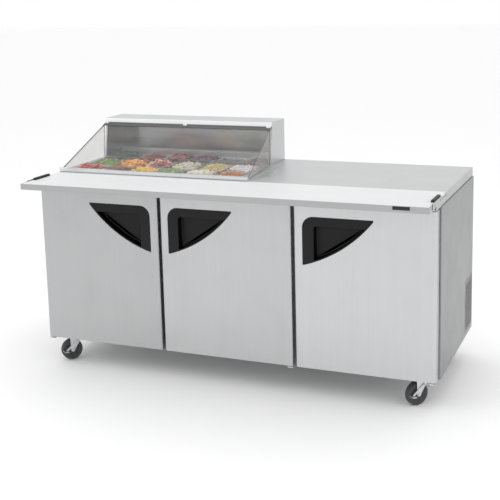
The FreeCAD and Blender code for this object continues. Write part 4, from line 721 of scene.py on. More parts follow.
def liner_part(low, high):
    """Raised field of the inner door panel: a pillow whose height rises from the margin in a half cosine, with a
    long groove round its middle, h = rise * (1 - cos(pi t)) / 2 over the first 18 mm."""
    margin, shoulder, rise, corner = 30 * MM, 18 * MM, 3.0 * MM, 34 * MM
    groove, groove_width, groove_depth, skirt = 40 * MM, 15 * MM, 1.8 * MM, 1.0 * MM
    steps = np.array([0, 3, 6, 9, 12, 15, 18, 40, 43, 46, 49, 52, 55, 80]) * MM
    heights = rise * (1 - np.cos(np.pi * np.clip(steps / shoulder, 0, 1))) / 2
    heights -= groove_depth * np.sin(np.pi * np.clip((steps - groove) / groove_width, 0, 1))
    rows = [
        (margin + step, max(corner - step * 0.3, 4 * MM), high[1] + height, 8)
        for step, height in zip([steps[0], *steps], [-skirt, *heights])
    ]
    return shell(framed(low, high, rows))


# Pans and food


def pan_part(x0, x1, y0, y1, top, bottom):
    """Food pan: rings of a rectangle with round corners, from under the rim, round its rolled edge, down the wall
    with a slight draught and round the foot to the floor, and another skin for its outside. Each row has an outline,
    a step in, a corner radius, a level and a rise above it."""
    rim = np.array([x1 - x0, y1 - y0]) / 2
    tub = rim - (6.5 * MM, 9.5 * MM)
    inner = [
        (rim, 1.6, 9, top, -1.45), (rim, 0.3, 10, top, -1.3), (rim, 0.0, 10, top, -0.8), (rim, 0.5, 10, top, -0.15),
        (rim, 1.6, 9, top, 0.0), (tub, -1.0, 12, top, -0.1), (tub, 0.9, 11, top, -1.6), (tub, 2.4, 11, top, -30.0),
        (tub, 4.6, 11, bottom, 12.0), (tub, 8.0, 10, bottom, 4.0), (tub, 16.0, 8, bottom, 1.5),
    ]
    outside = [
        (tub, 17.0, 8, bottom, 0.2), (tub, 7.4, 10, bottom, 2.4), (tub, 3.2, 11, bottom, 12.0),
        (tub, 0.9, 11, top, -30.0), (tub, 0.0, 11, top, -2.6), inner[0],
    ]
    skins = []
    for rows, ends in ((inner, (False, True)), (outside, (True, False))):
        lines = [rounded_rectangle(*(line - step * MM), corner * MM) for line, step, corner, _, _ in rows]
        skins.append(shell(stack(lines, [level + rise * MM for *_, level, rise in rows]), *ends))
    return moved(gathered(skins), ((x0 + x1) / 2, (y0 + y1) / 2, 0.0))


def bed_part(x0, x1, y0, y1, top, rng):
    """The top of the food in one pan: a height field, top plus five crossed waves and a crown towards the middle."""
    points, waves, swell, crown, sink = 26, 5, 5.0 * MM, 11 * MM, 4 * MM
    gx, gy = np.meshgrid(np.linspace(x0, x1, points), np.linspace(y0, y1, points), indexing="ij")
    wave = np.zeros_like(gx)
    for _ in range(waves):
        turn, length, phase = rng.uniform(0, math.tau), rng.uniform(22, 60) * MM, rng.uniform(0, math.tau)
        wave += np.sin((gx * math.cos(turn) + gy * math.sin(turn)) / length * math.tau + phase) / waves
    gz = top + swell * wave + crown * dome((gx - x0) / (x1 - x0), (gy - y0) / (y1 - y0)) - sink
    return surface(np.stack([gx, gy, gz], axis=-1))


def dome(u, v):
    """One over most of a unit square, falling to nothing at its sides: (1 - p^4)(1 - q^4), p and q from -1 to 1."""
    return (1 - (2 * u - 1) ** 4) * (1 - (2 * v - 1) ** 4)


def turn_axes(rng, tilt):
    """Three square axes: a free turn about the vertical, then a tilt about two flat axes."""
    turn = Matrix.Rotation(rng.uniform(0, math.tau), 3, "Z")
    lean = Matrix.Rotation(rng.normal(0, tilt), 3, "X") @ Matrix.Rotation(rng.normal(0, tilt), 3, "Y")
    return np.array((lean @ turn).transposed())


def slice_shape(rng, radius, thick):
    """A thin round slice: a ring bulging at its rim, wavy with the angle."""
    angle = np.linspace(0, math.tau, 14, endpoint=False)
    wave = 1 + 0.05 * np.sin(3 * angle + rng.uniform(0, math.tau))
    rings = []
    for share, height in ((0.80, -0.5), (0.98, -0.4), (1.0, 0.0), (0.98, 0.4), (0.80, 0.5)):
        rings.append(np.stack([
            radius * share * wave * np.cos(angle), radius * share * wave * np.sin(angle),
            thick * height + radius * 0.07 * np.cos(2 * angle),
        ], axis=-1))
    return shell(rings)


def chunk_shape(rng, radius, squash=0.75, sides=7):
    """A rough chunk: rings of a ball with uneven radii."""
    rings = []
    angle = np.linspace(0, math.tau, sides, endpoint=False)
    for lift in (-1.1, -0.45, 0.2, 0.85):
        r = radius * math.cos(lift) * rng.uniform(0.82, 1.16, sides)
        height = np.full(sides, radius * squash * math.sin(lift))
        rings.append(np.stack([r * np.cos(angle), r * np.sin(angle), height], -1))
    return shell(rings)


def shred_shape(rng, length, width):
    """A shred: a thin ribbon along an arc, its section a flat lozenge."""
    t = np.linspace(-1, 1, 6)
    bend = rng.uniform(-0.35, 0.35)
    wide = width * (1 - 0.7 * t ** 4)
    rings = []
    for across, up in ((-1, 0), (0, 0.35), (1, 0), (0, -0.35)):
        rings.append(np.stack([t * length / 2, bend * length * t ** 2 + across * wide / 2, up * wide / 2], -1))
    return shell(np.stack(rings, axis=1))


def leaf_shape(rng, length):
    """A leaf: a height field on a pointed oval, folded along its middle and ruffled at its edge."""
    thick = 0.35 * MM
    gu, gv = np.meshgrid(np.linspace(0, 1, 7), np.linspace(-1, 1, 7), indexing="ij")
    wide = length * 0.32 * np.sin(np.pi * np.clip(gu, 0.04, 0.97)) ** 0.7
    x = (gu - 0.5) * length
    y = gv * wide
    z = 0.22 * wide * np.abs(gv) + 0.10 * wide * np.sin(gu * 16 + rng.uniform(0, 6)) * gv ** 2
    upper, lower = np.stack([x, y, z + thick], -1), np.stack([x, y, z - thick], -1)
    return shell(np.concatenate([upper, lower[:, ::-1]], axis=1))


SHAPES = {
    "slices": lambda rng: slice_shape(rng, rng.uniform(21, 25) * MM, 3.5 * MM),
    "rounds": lambda rng: slice_shape(rng, rng.uniform(12, 16) * MM, 4 * MM),
    "rings": lambda rng: slice_shape(rng, rng.uniform(8, 11) * MM, 5 * MM),
    "chunks": lambda rng: chunk_shape(rng, rng.uniform(7, 11) * MM),
    "crumbs": lambda rng: chunk_shape(rng, rng.uniform(3.5, 5.5) * MM, 0.7, 5),
    "cubes": lambda rng: soft_block((-6 * MM, -6 * MM, -5 * MM), (6 * MM, 6 * MM, 5 * MM), 1.6 * MM, 1),
    "shreds": lambda rng: shred_shape(rng, rng.uniform(26, 44) * MM, rng.uniform(3, 4.5) * MM),
    "leaves": lambda rng: leaf_shape(rng, rng.uniform(44, 64) * MM),
    "folds": lambda rng: leaf_shape(rng, rng.uniform(60, 76) * MM),
}

# row, column: name, shape, count, tilt, dark colour, light colour, scale of the mottling
FOODS = {
    ("front", 0): ("tomato", "slices", 26, 0.34, (0.38, 0.025, 0.015), (0.62, 0.085, 0.04), 160.0),
    ("front", 1): ("mince", "crumbs", 210, 0.3, (0.17, 0.075, 0.03), (0.34, 0.18, 0.085), 300.0),
    ("front", 2): ("sweet_pepper", "chunks", 60, 0.3, (0.62, 0.34, 0.02), (0.85, 0.60, 0.07), 140.0),
    ("front", 3): ("cucumber", "rounds", 54, 0.3, (0.045, 0.11, 0.02), (0.26, 0.38, 0.09), 130.0),
    ("front", 4): ("soft_cheese", "cubes", 76, 0.25, (0.62, 0.56, 0.40), (0.82, 0.78, 0.64), 90.0),
    ("front", 5): ("carrot", "shreds", 130, 0.25, (0.50, 0.15, 0.02), (0.72, 0.30, 0.06), 190.0),
    ("middle", 0): ("lettuce", "shreds", 150, 0.35, (0.12, 0.25, 0.03), (0.42, 0.55, 0.15), 170.0),
    ("middle", 1): ("orange_slices", "slices", 24, 0.32, (0.66, 0.24, 0.02), (0.86, 0.46, 0.08), 120.0),
    ("middle", 2): ("ham", "folds", 22, 0.35, (0.55, 0.24, 0.21), (0.76, 0.46, 0.42), 70.0),
    ("middle", 3): ("chicken", "chunks", 60, 0.3, (0.46, 0.40, 0.31), (0.70, 0.65, 0.55), 120.0),
    ("middle", 4): ("grated_cheese", "shreds", 150, 0.25, (0.60, 0.44, 0.14), (0.82, 0.70, 0.38), 150.0),
    ("middle", 5): ("onion", "rings", 80, 0.3, (0.55, 0.50, 0.50), (0.78, 0.74, 0.76), 110.0),
    ("rear", 0): ("spinach", "leaves", 42, 0.4, (0.015, 0.055, 0.02), (0.07, 0.17, 0.06), 120.0),
    ("rear", 1): ("red_pepper", "shreds", 110, 0.3, (0.50, 0.05, 0.015), (0.74, 0.16, 0.05), 150.0),
    ("rear", 2): ("salami", "slices", 28, 0.32, (0.46, 0.13, 0.11), (0.70, 0.36, 0.33), 260.0),
    ("rear", 3): ("beetroot", "cubes", 80, 0.3, (0.20, 0.07, 0.12), (0.40, 0.22, 0.28), 130.0),
    ("rear", 5): ("mushroom", "chunks", 60, 0.3, (0.20, 0.12, 0.07), (0.42, 0.30, 0.20), 130.0),
}


def food_part(kind, count, tilt, room, rng):
    """One pan's food: a bed, and pieces scattered on a jittered grid, each resting on the bed."""
    x0, x1, y0, y1, top = room
    parts = [bed_part(x0, x1, y0, y1, top, rng)]
    jitter, spread, play, heap = 0.45, 0.86, 0.5 * MM, 10
    columns = max(2, int(math.sqrt(count * (x1 - x0) / (y1 - y0))))
    rows = max(2, math.ceil(count / columns))
    for i in range(count):
        shape = SHAPES[kind](rng)
        reach = np.abs(shape[0][:, :2]).max() * spread + play
        u = (i % columns + 0.5 + rng.uniform(-jitter, jitter)) / columns
        v = (i // columns + 0.5 + rng.uniform(-jitter, jitter)) / rows
        x = x0 + reach + u * max(x1 - x0 - 2 * reach, 0)
        y = y0 + reach + v * max(y1 - y0 - 2 * reach, 0)
        z = top + (rng.uniform(-1.0, 6.0) + heap * dome(u, v)) * MM
        points, faces = moved(shape, (x, y, z), turn_axes(rng, tilt))
        points[:, :2] = np.clip(points[:, :2], (x0, y0), (x1, y1))
        parts.append((points, faces))
    return gathered(parts)


# Casters, fans and machine parts


AXLE = (28, 50)
BRAKE_STUD = (4.0, 88.0)
SIDEWAYS = ((1, 0, 0), (0, 0, 1), (0, 1, 0))


def wheel_part():
    """Wheel about the axle: a closed profile carried round it. The tread has two shallow grooves, and the web swells
    into six ribs, depth * (1 + 0.32 * max(0, cos 6 angle)) away from the middle plane."""
    half = np.array([
        (5.2, 15.8), (11.0, 15.8), (14.8, 15.2), (16.0, 13.4), (18.0, 11.2), (28.0, 10.6), (34.0, 11.0), (36.2, 14.4),
        (37.6, 15.0), (44.5, 15.0), (47.6, 14.0), (49.4, 11.6), (50.0, 8.6), (50.0, 6.2), (49.0, 5.4), (49.0, 4.4),
        (50.0, 3.6), (50.0, 0.0),
    ])
    profile = np.concatenate([half, (half * (1, -1))[-2::-1], half[:1]])
    points, faces = spun(profile, 72)
    radius = np.hypot(points[:, 0], points[:, 1])
    angle = np.arctan2(points[:, 1], points[:, 0])
    web = (radius > 17.5 * MM) & (radius < 34.5 * MM)
    points[:, 2] *= np.where(web, 1 + 0.32 * np.maximum(0, np.cos(6 * angle)), 1)
    return points, faces


def hex_head(radius, low, high):
    """Bolt head: six sides, with its top corners taken off."""
    angle = np.linspace(0, math.tau, 6, endpoint=False)
    ring = radius * np.stack([np.cos(angle), np.sin(angle)], -1)
    edge = 0.22 * (high - low)
    return shell(stack([ring * 0.94, ring, ring, ring * 0.88], [low, low + edge, high - edge * 1.4, high]) * MM)


def anticlockwise(outline):
    """An outline turned round when its signed area is negative."""
    x, y = outline.T
    return outline[::-1] if np.sum(x * np.roll(y, -1) - np.roll(x, -1) * y) < 0 else outline


def round_end(centre, radius, start):
    """Half a circle of points."""
    turn = np.linspace(start, start + math.pi, 12)
    return centre + radius * np.stack([np.cos(turn), np.sin(turn)], -1)


def fork_part(with_brake):
    """Caster fork about its pivot, trail along the first axis: bent strap, two ball races, nut and axle bolt."""
    cheek = [(39.6, 111.0), (-17.6, 111.0), (-17.0, 103.0), *round_end(AXLE, 10, math.pi), (39.2, 103.0)]
    cheek = anticlockwise(np.array(cheek) * MM)
    parts = [
        moved(plate(cheek, low * MM, (low + 3) * MM, 0.5 * MM), (0, 0, 0), SIDEWAYS) for low in (-20, 17)
    ]
    parts.append(soft_block((-19 * MM, -20 * MM, 105 * MM), (40 * MM, 20 * MM, 111 * MM), 1.8 * MM))
    race = [
        (9, 108.0), (24.5, 108.0), (26, 109.4), (26, 112.8), (25.2, 114.0), (23.6, 114.6), (23.6, 115.4),
        (25.2, 116.0), (26, 117.2), (26, 120.6), (24.6, 122.0), (18, 123.4), (9, 123.9),
    ]
    parts.append(turned(race, steps=40))
    parts.append(turned([(7.2, 104.5), (8, 106), (8, 129.2), (7.2, 130)], steps=24))
    bolt = turned([(4.6, -22.0), (5, -21.6), (5, 21.6), (4.6, 22.0)], steps=20)
    across = [(part, AXLE) for part in (bolt, hex_head(6, -23, -20), hex_head(6, 20, 22.5))]
    if with_brake:
        across.append((turned([(2.8, 19.0), (3, 19.3), (3, 26.4), (2.6, 27.0)], steps=16), BRAKE_STUD))
    parts += [moved(part, (along * MM, 0, up * MM), SIDEWAYS) for part, (along, up) in across]
    return gathered(parts)


def lever_part():
    """Brake lever beside the fork: a strap with a round eye, and a foot pad that curls up and over at its end."""
    stud, tip = np.array(BRAKE_STUD), np.array([60.0, 50.0])
    along = (tip - stud) / np.linalg.norm(tip - stud)
    off = np.array([-along[1], along[0]])
    eye = round_end(stud, 7, math.atan2(off[1], off[0]))
    strap = anticlockwise(np.array([*eye, tip - off * 4, tip + off * 4]) * MM)
    parts = [moved(plate(strap, 20.4 * MM, 23.4 * MM, 0.4 * MM), (0, 0, 0), SIDEWAYS)]
    t = np.linspace(0, 1, 12)[:, None]
    section = np.array([
        (-0.94, -1.4), (-1.0, -0.9), (-1.0, 0.9), (-0.94, 1.4), (0.94, 1.4), (1.0, 0.9), (1.0, -0.9), (0.94, -1.4),
    ])
    half, middle = 9, 29.4
    x = np.broadcast_to(52 + 26 * t, (12, 8))
    y = np.broadcast_to(middle + half * section[:, 0], x.shape)
    z = 46.5 + 6.5 * np.clip((t - 0.55) / 0.45, 0, 1) ** 2 + section[:, 1]
    parts.append(shell(np.stack([x, y, z], axis=-1) * MM))
    for at in (58, 63, 68, 73):
        parts.append(soft_block((at * MM, 23 * MM, 47.4 * MM), ((at + 1.6) * MM, 36 * MM, 48.9 * MM), 0.5 * MM, 1))
    return gathered(parts)


def fan_part():
    """Fan about its shaft: a domed hub and five twisted blades. Along a blade the width grows, the pitch angle falls
    from 52 to 28 degrees, and the section is a thin curved lens."""
    hub = [
        (3.05, 0.4), (12.6, 0.4), (13.8, 1.4), (14, 3.0), (14, 15.5), (13.2, 18.0), (11.0, 19.5), (3.05, 19.8),
        (3.05, 0.4),
    ]
    side = np.concatenate([np.linspace(-1, 1, 8), np.linspace(1, -1, 8)[1:-1]])
    above = np.concatenate([np.ones(8), -np.ones(6)])
    share = np.linspace(0, 1, 9)[:, None]
    radius = 12.5 + 49.0 * share
    pitch = np.radians(52 - 24 * share)
    reach = 8.5 + 7.5 * np.sin(share * 2.2)
    camber = 1.6 * (1 - side ** 2) + above * 0.7 * (1 - 0.8 * side ** 4)
    height = np.clip(10 + side * reach * np.sin(pitch) * 0.75 + camber, 0.6, 19.4)
    parts = [spun(hub, 40)]
    for base in math.tau / 5 * np.arange(5):
        angle = base + side * reach * np.cos(pitch) / radius
        parts.append(shell(np.stack([radius * np.cos(angle), radius * np.sin(angle), height], -1) * MM))
    return gathered(parts)


def compressor_part(low, high):
    """Hermetic compressor: a two-piece pressed shell with its welded seam, base plate, rubber feet and two tubes that
    climb round it."""
    cx, cy, z = (low[0] + high[0]) / 2, (low[1] + high[1]) / 2, low[2]
    profile = [
        (40, 15.5), (52, 17), (58, 24), (60, 34), (60, 92), (61.6, 93.4), (61.6, 97.6), (60, 99), (60, 118),
        (57, 132), (48, 147), (34, 158), (18, 163.6), (2, 165),
    ]
    foot = [(7.5, 0.0), (9, 1.2), (9, 3.4), (7.8, 4.6), (9, 5.8), (9, 9.2), (7.5, 10.2)]
    base = rounded_rectangle(75 * MM, 68 * MM, 12 * MM, 6)
    parts = [turned(profile, (cx, cy, z), 56), moved(plate(base, 10 * MM, 15 * MM, 0.8 * MM), (cx, cy, z))]
    for at in ((-60, -54), (-60, 54), (60, -54), (60, 54)):
        place = (cx + at[0] * MM, cy + at[1] * MM, z)
        parts += [turned(foot, place, 20), moved(hex_head(6, 15, 19), place)]
    t = np.linspace(0, 1, 18)
    radius = (58 + 12 * np.sin(np.pi * np.clip(t * 1.4, 0, 1))) * MM
    for start, reach in ((-0.9, 128), (0.15, 118)):
        angle, climb = start + 0.9 * t, (40 + (reach - 40) * t ** 1.5) * MM
        path = np.stack([cx + radius * np.cos(angle), cy + radius * np.sin(angle) * 0.93, z + climb], -1)
        parts.append(tube(path, 3.2 * MM))
    return gathered(parts)


# Operators


class Maker:
    """Options that every operator shares."""

    bl_options = {"REGISTER", "UNDO"}


class PREP_OT_cabinet(Maker, bpy.types.Operator):
    """Folded sheet panels of the cabinet, its posts and its machine housing"""

    bl_idname = "prep.cabinet"
    bl_label = "Cabinet"

    def execute(self, context):
        side, inside = brushed_steel("SidePanels"), brushed_steel("InsidePanels")
        edge = context.scene.prep_steel.edge / MM
        for node in ("left_side_panel", "right_side_panel"):
            softened(node, side, edge)
        for node in ("back_panel", "cabinet_floor", "front_top_rail", "mullions", "machine_housing"):
            softened(node, inside, edge)
        finish_node("shelf_clips", plated("ClipPlating"))
        softened("hinge_brackets", plated("HingePlating"), 0.5, 1)
        return {"FINISHED"}


class PREP_OT_doors(Maker, bpy.types.Operator):
    """Door skins, inner panels with their raised fields, gaskets and moulded hand pockets"""

    bl_idname = "prep.doors"
    bl_label = "Doors"

    def execute(self, context):
        plastics = context.scene.prep_plastic
        liner = moulded_plastic("DoorLiner", tuple(plastics.liner), 0.34, 3.0, 0.08)
        face = box_of("left_door_handle")[0][1]
        handle = handle_plastic_with_pocket_shade("HandlePlastic", tuple(plastics.handle), face)
        seal = rubber("GasketRubber", (0.035, 0.035, 0.037))
        for name, way in DOORS.items():
            softened(f"{name}_door_skin", brushed_steel(f"DoorSteel_{name}"), 0.7, 2, 25.0)
            inner, gasket, cup = (f"{name}_door_{part}" for part in ("inner", "gasket", "handle"))
            softened(inner, liner, 0.6, 1)
            piece(f"{name}_liner_field", liner_part(*box_of(inner)), inner, liner, stands_in=False)
            piece(f"{name}_gasket_bellows", gasket_part(*box_of(gasket)), gasket, seal)
            piece(f"{name}_hand_pocket", handle_part(*box_of(cup), way), cup, handle)
        return {"FINISHED"}


class PREP_OT_worktop(Maker, bpy.types.Operator):
    """Worktop, lid collar, air duct, slotted air bar with painted white highlights in its slots, rest bars and the
    well under the pans
    """

    bl_idname = "prep.worktop"
    bl_label = "Worktop"

    def execute(self, context):
        top, fold = brushed_steel("WorktopSteel"), brushed_steel("WorktopFoldShade")
        # Painted shade: faces of the worktop that stand upright get the darker fold steel.
        softened("worktop", top, 2.2, 3, extra=([fold], lambda centre, normal: np.abs(normal[:, 2]) < 0.5))
        softened("lid_collar", top, 0.6)
        softened("rear_air_duct", top, 0.6)
        softened("air_divider", brushed_steel("AirBarSteel"), 0.6)
        low, high = box_of("air_divider")
        first, pitch, half, last = 14 * MM, 66 * MM, 19 * MM, 52 * MM
        # Painted highlights: white pads in the air bar's slots stand for light showing through them.
        outline = rounded_rectangle(18.4 * MM, 6.4 * MM, 6 * MM, 6)
        collar = plate(outline, high[2] - 3 * MM, high[2] - 0.4 * MM, 0.5 * MM)
        starts = np.arange(low[0] + first, high[0] - last, pitch)
        slot_highlights = gathered([moved(collar, (start + half, (low[1] + high[1]) / 2, 0)) for start in starts])
        slot_highlight_white = moulded_plastic("SlotHighlight", (0.86, 0.87, 0.88), 0.35, 2.0, 0.05, 0.2)
        piece("air_slot_highlights", slot_highlights, "air_divider", slot_highlight_white, stands_in=False)
        finish_node("pan_rest_bars", top)
        finish_node("pan_well", brushed_steel("WellSteel"))
        return {"FINISHED"}


def pan_rooms(row):
    """The outer box of each pan in a row: the row's box, with a gap of 2 mm between pans, cut into six."""
    low, high = box_of(f"{row}_pans")
    gap = 2 * MM
    pitch = (high[0] - low[0] + gap) / 6
    return [(x, x + pitch - gap, low[1], high[1], high[2], low[2]) for x in low[0] + pitch * np.arange(6)]


class PREP_OT_pans(Maker, bpy.types.Operator):
    """Eighteen food pans in three rows"""

    bl_idname = "prep.pans"
    bl_label = "Pans"

    def execute(self, context):
        steel = brushed_steel("PanSteel")
        for row in ("front", "middle", "rear"):
            piece(f"{row}_pan_row", gathered([pan_part(*room) for room in pan_rooms(row)]), f"{row}_pans", steel)
        return {"FINISHED"}


class PREP_OT_food(Maker, bpy.types.Operator):
    """Food in seventeen of the pans: a bed and loose pieces in each"""

    bl_idname = "prep.food"
    bl_label = "Food"

    def execute(self, context):
        settings = context.scene.prep_food
        margin_x, margin_y = 9.5 * MM, 12.5 * MM
        for index, ((row, column), (name, kind, count, tilt, dark, light, scale)) in enumerate(FOODS.items()):
            rng = np.random.default_rng(settings.seed + index)
            x0, x1, y0, y1, top, _ = pan_rooms(row)[column]
            room = (x0 + margin_x, x1 - margin_x, y0 + margin_y, y1 - margin_y, top - settings.fill)
            part = food_part(kind, count, tilt, room, rng)
            piece(f"food_{name}", part, None, food(f"Food_{name}", dark, light, scale), 60.0)
        return {"FINISHED"}


class PREP_OT_board(Maker, bpy.types.Operator):
    """Cutting board on its folded tray, with brackets, screws, clips and the plain display strip"""

    bl_idname = "prep.board"
    bl_label = "Cutting board"

    def execute(self, context):
        plastics = context.scene.prep_plastic
        steel = brushed_steel("TraySteel")
        black = moulded_plastic("ClipPlastic", tuple(plastics.handle), 0.55, scuff=0.1)
        softened("cutting_board", board_plastic("BoardPlastic", tuple(plastics.board)), 2.0, 3)
        softened("board_tray", steel, 0.7)
        softened("board_brackets", steel, 0.5)
        softened("board_clips", black, 1.6, 3)
        softened("display_strip", black, 0.6)
        return {"FINISHED"}


class PREP_OT_hood(Maker, bpy.types.Operator):
    """Folded hood with a painted highlight on its front fold and painted shade inside it, and the hinge knuckles"""

    bl_idname = "prep.hood"
    bl_label = "Hood"

    def execute(self, context):
        low, high = (corner / MM for corner in box_of("hood_shell"))
        wall, front, fold = 11, 30.5, 21

        # Painted light: faces inside the hood take the darker steel as painted shade, and the front faces of the top
        # fold the far lighter steel as a painted highlight.
        def shade_or_highlight_of_face(centre, normal):
            x, y, z = centre.T
            across = (x > low[0] + wall) & (x < high[0] - wall)
            shaded_inside = across & (y > low[1] + front) & (y < high[1] - wall) & (z < high[2] - wall)
            fascia_highlight = (normal[:, 1] < -0.8) & (z > high[2] - fold)
            return shaded_inside + 2 * (fascia_highlight & ~shaded_inside)

        others = [brushed_steel("HoodInside"), brushed_steel("HoodFasciaHighlight")]
        softened("hood_shell", brushed_steel("HoodSteel"), 1.4, extra=(others, shade_or_highlight_of_face))
        softened("lid_knuckles", brushed_steel("KnuckleSteel"), 0.4, 1)
        return {"FINISHED"}


# The clear lid in millimetres: run and rise of its slope, its front foot, the corners of the sloping sheet along
# the slope, the corners of a side, where the sides start and how far they lean in, and each side's two places.
LID_RUN, LID_RISE = 398.9, 164.9
LID_FOOT = (-914, -127.0, 897.8)
LID_TOP = ((0, 0), (958, 0), (912, 431.6), (11, 431.6))
LID_CHEEK = ((-122.0, 897.7), (254.4, 897.7), (269.6, 1061.4), (-122.0, 899.7))
LID_SPLAY = (-128.5, 383.0)
LID_SIDES = (("left", -914.0, -903.0, 1), ("right", 44.0, -2.0, -1))


class PREP_OT_lid(Maker, bpy.types.Operator):
    """Clear lid with polished edges darkened by painted shade, a painted grey reflection on its side sheets, its
    hinge rod and its rounded front rail
    """

    bl_idname = "prep.lid"
    bl_label = "Lid"

    def execute(self, context):
        # Painted light: the side sheets get a grey, less clear body as a painted reflection, and the sheet edges a
        # near-black, nearly opaque body as painted shade.
        front = clear_sheet("LidSheet", 0.05)
        sides = clear_sheet("LidSidesReflection", 0.24, (0.62, 0.62, 0.60))
        rim = clear_sheet("LidEdgeShade", 0.92, (0.06, 0.065, 0.065))
        sheet, edge = 4 * MM, 0.5 * MM
        length = math.hypot(LID_RUN, LID_RISE)
        run, rise = LID_RUN / length, LID_RISE / length
        axes = ((1, 0, 0), (0, run, rise), (0, -rise, run))
        slab = plate(np.array(LID_TOP) * MM, 0.0, sheet, edge)
        part = moved(slab, np.array(LID_FOOT) * MM, axes)
        rims = ([rim], lambda centre, normal: np.abs(normal @ np.array(axes[2])) < 0.8)
        piece("lid_front_sheet", part, "lid_glass", front, 40.0, rims)
        rims = ([rim], lambda centre, normal: np.abs(normal[:, 0]) < 0.8)
        for side, near, far, inwards in LID_SIDES:
            points, faces = plate(np.array(LID_CHEEK) * MM, 0.0, inwards * sheet, inwards * edge)
            share = np.clip((points[:, 0] / MM - LID_SPLAY[0]) / LID_SPLAY[1], 0, 1)
            x = (near + (far - near) * share) * MM + points[:, 2]
            part = np.stack([x, points[:, 0], points[:, 1]], axis=-1), faces
            piece(f"lid_{side}_sheet", part, "lid_glass", sides, 40.0, rims)
        softened("lid_rail", brushed_steel("RailSteel"), 2.4, 3)
        # Painted shade: the hinge rod's steel is near black, standing for the shadow line under the hood's front.
        finish_node("lid_hinge_rod", brushed_steel("RodSteel"))
        return {"FINISHED"}


class PREP_OT_vent(Maker, bpy.types.Operator):
    """Slotted vent on the right side and the power inlet at the back"""

    bl_idname = "prep.vent"
    bl_label = "Vent and inlet"

    def execute(self, context):
        # Painted shade: the grille's steel is toned dark so the slotted vent reads dark.
        finish_node("vent_grille", brushed_steel("GrilleSteel"))
        finish_node("power_inlet", moulded_plastic("InletPlastic", (0.02, 0.02, 0.022), 0.4))
        return {"FINISHED"}


FAN_AXES = {
    "evaporator_fan": ((1, 0, 0), (0, 0, 1), (0, -1, 0)),
    "condenser_fan": ((0, 1, 0), (0, 0, 1), (1, 0, 0)),
}


class PREP_OT_inside(Maker, bpy.types.Operator):
    """Wire shelves, coils, fans, compressor and motor"""

    bl_idname = "prep.inside"
    bl_label = "Inside parts"

    def execute(self, context):
        finish_node("wire_shelves", coated_wire("ShelfCoating"))
        finish_node("evaporator_unit", coil_metal("EvaporatorFins", "X"))
        finish_node("condenser_coil", coil_metal("CondenserFins", "Y"))
        finish_node("condenser_motor", black_paint("MotorPaint"))
        part = compressor_part(*box_of("compressor"))
        piece("compressor_shell", part, "compressor", black_paint("CompressorPaint"), 40.0)
        blade = moulded_plastic("FanPlastic", (0.05, 0.05, 0.055), 0.45)
        for node, axes in FAN_AXES.items():
            low, high = box_of(node)
            joint = next(j for j in frame["record"]["behaviour"]["joints"] if j["child"] == node)
            along = np.array(axes[2])
            start = np.where(along < 0, high, np.where(along > 0, low, np.array(joint["pos_m"])))
            piece(f"{node}_blades", moved(fan_part(), start, axes), node, blade, 40.0)
        return {"FINISHED"}


TRAIL_TURN = 230


class PREP_OT_casters(Maker, bpy.types.Operator):
    """Wheels, forks, top plates and brake pedals of the four casters"""

    bl_idname = "prep.casters"
    bl_label = "Casters"

    def execute(self, context):
        zinc = plated("CasterPlating")
        softened("caster_plates", zinc, 0.8)
        turn = math.radians(TRAIL_TURN)
        trail = (math.cos(turn), math.sin(turn), 0.0)
        side = (-math.sin(turn), math.cos(turn), 0.0)
        upright = (trail, side, (0.0, 0.0, 1.0))
        axle = (trail, (0.0, 0.0, 1.0), side)
        for corner in ("front_left", "front_right", "rear_left", "rear_right"):
            wheel, fork, lever = (f"{corner}_{part}" for part in ("wheel", "fork", "brake"))
            middle = sum(box_of(wheel)) / 2
            pivot = (middle - AXLE[0] * MM * np.array(trail)) * (1, 1, 0)
            tread = rubber(f"Tread_{corner}", (0.045, 0.045, 0.048))
            piece(f"{corner}_tread", moved(wheel_part(), middle, axle), wheel, tread, 40.0)
            braked = lever in BODY_OF
            piece(f"{corner}_strap", moved(fork_part(braked), pivot, upright), fork, zinc)
            if braked:
                piece(f"{corner}_pedal", moved(lever_part(), pivot, upright), lever, zinc)
        return {"FINISHED"}


FLOOR_REACH = 40.0
LIGHTS_AIM = (0.0, 0.0, 0.6)
CAMERA_AT = (1.727, -4.1525, 1.719)
CAMERA_TURNS = (-22.57, 10.39, -1.44)
CAMERA_SHIFT = -0.15


def staged(scene, name, data):
    """A stage object, which isn't part of the table."""
    obj = bpy.data.objects.new(name, data)
    scene.collection.objects.link(obj)
    return obj


def camera_turn():
    """The camera's axes: turned about the vertical, looking down, then rolled."""
    yaw, pitch, roll = (math.radians(a) for a in CAMERA_TURNS)
    ahead = Vector((math.sin(yaw) * math.cos(pitch), math.cos(yaw) * math.cos(pitch), -math.sin(pitch)))
    right = Vector((math.cos(yaw), -math.sin(yaw), 0.0))
    up = right.cross(ahead)
    across = right * math.cos(roll) + up * math.sin(roll)
    above = up * math.cos(roll) - right * math.sin(roll)
    return Matrix((across, above, -ahead)).transposed().to_4x4()


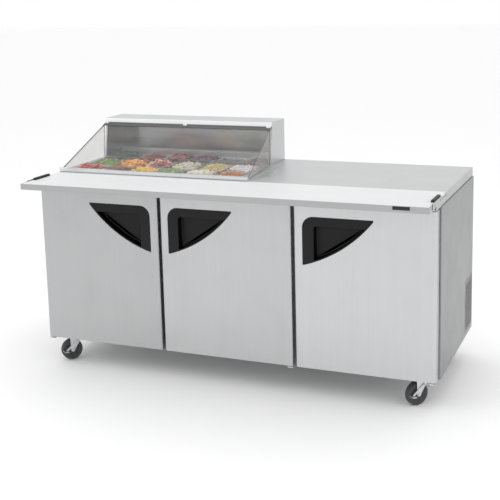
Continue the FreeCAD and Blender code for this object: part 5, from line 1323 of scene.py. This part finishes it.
class PREP_OT_stage(Maker, bpy.types.Operator):
    """Floor, soft lights and camera"""

    bl_idname = "prep.stage"
    bl_label = "Stage"

    def execute(self, context):
        scene, settings = context.scene, context.scene.prep_stage
        gx, gy = np.meshgrid(*[np.linspace(-FLOOR_REACH, FLOOR_REACH, 13)] * 2, indexing="ij")
        points, faces = surface(np.stack([gx, gy, gx * 0], -1))
        mesh = bpy.data.meshes.new("floor")
        mesh.from_pydata(points.tolist(), [], faces)
        mesh.materials.append(plain_floor("Floor"))
        staged(scene, "floor", mesh)
        for name, at, size, power in (
            ("key_light", (-2.6, -3.4, 3.8), 2.6, settings.key),
            ("side_light", (4.6, -0.4, 2.4), 2.2, settings.fill),
            ("top_light", (0.2, 0.6, 4.4), 3.0, settings.key * 0.7),
        ):
            light = bpy.data.lights.new(name, "AREA")
            light.shape, light.size, light.energy = "SQUARE", size, power
            lamp = staged(scene, name, light)
            lamp.location = at
            lamp.rotation_euler = (Vector(LIGHTS_AIM) - Vector(at)).to_track_quat("-Z", "Y").to_euler()
        world = bpy.data.worlds.new("Surround")
        world.use_nodes = True
        surround = world.node_tree.nodes["Background"].inputs
        surround["Color"].default_value = (1.0, 1.0, 1.0, 1.0)
        surround["Strength"].default_value = settings.sky
        scene.world = world
        scene.view_settings.view_transform = "Standard"
        data = bpy.data.cameras.new("camera")
        data.sensor_width, data.lens, data.shift_y = 36.0, settings.lens, CAMERA_SHIFT
        scene.camera = bpy.data.objects.new("camera", data)
        scene.camera.matrix_world = Matrix.Translation(CAMERA_AT) @ camera_turn()
        scene.collection.objects.link(scene.camera)
        return {"FINISHED"}


OPERATORS = (
    PREP_OT_cabinet, PREP_OT_doors, PREP_OT_worktop, PREP_OT_pans, PREP_OT_food, PREP_OT_board, PREP_OT_hood,
    PREP_OT_lid, PREP_OT_vent, PREP_OT_inside, PREP_OT_casters, PREP_OT_stage,
)


class PREP_PT_panel(bpy.types.Panel):
    """Sidebar panel with every step and its settings"""

    bl_idname = "PREP_PT_panel"
    bl_label = "Sandwich prep table"
    bl_space_type = "VIEW_3D"
    bl_region_type = "UI"
    bl_category = "Prep Table"

    def draw(self, context):
        for name in GROUPS:
            group = getattr(context.scene, name)
            column = self.layout.column(align=True)
            for key in group.__annotations__:
                column.prop(group, key)
        for operator in OPERATORS:
            self.layout.operator(operator.bl_idname)


CLASSES = (*GROUPS.values(), *OPERATORS, PREP_PT_panel)


def register():
    for cls in CLASSES:
        bpy.utils.register_class(cls)
    for name, group in GROUPS.items():
        setattr(bpy.types.Scene, name, bpy.props.PointerProperty(type=group))


def unregister():
    for name in GROUPS:
        delattr(bpy.types.Scene, name)
    for cls in reversed(CLASSES):
        bpy.utils.unregister_class(cls)


def main():
    register()
    for operator in OPERATORS:
        group, name = operator.bl_idname.split(".")
        getattr(getattr(bpy.ops, group), name)()


if __name__ == "__main__":
    main()
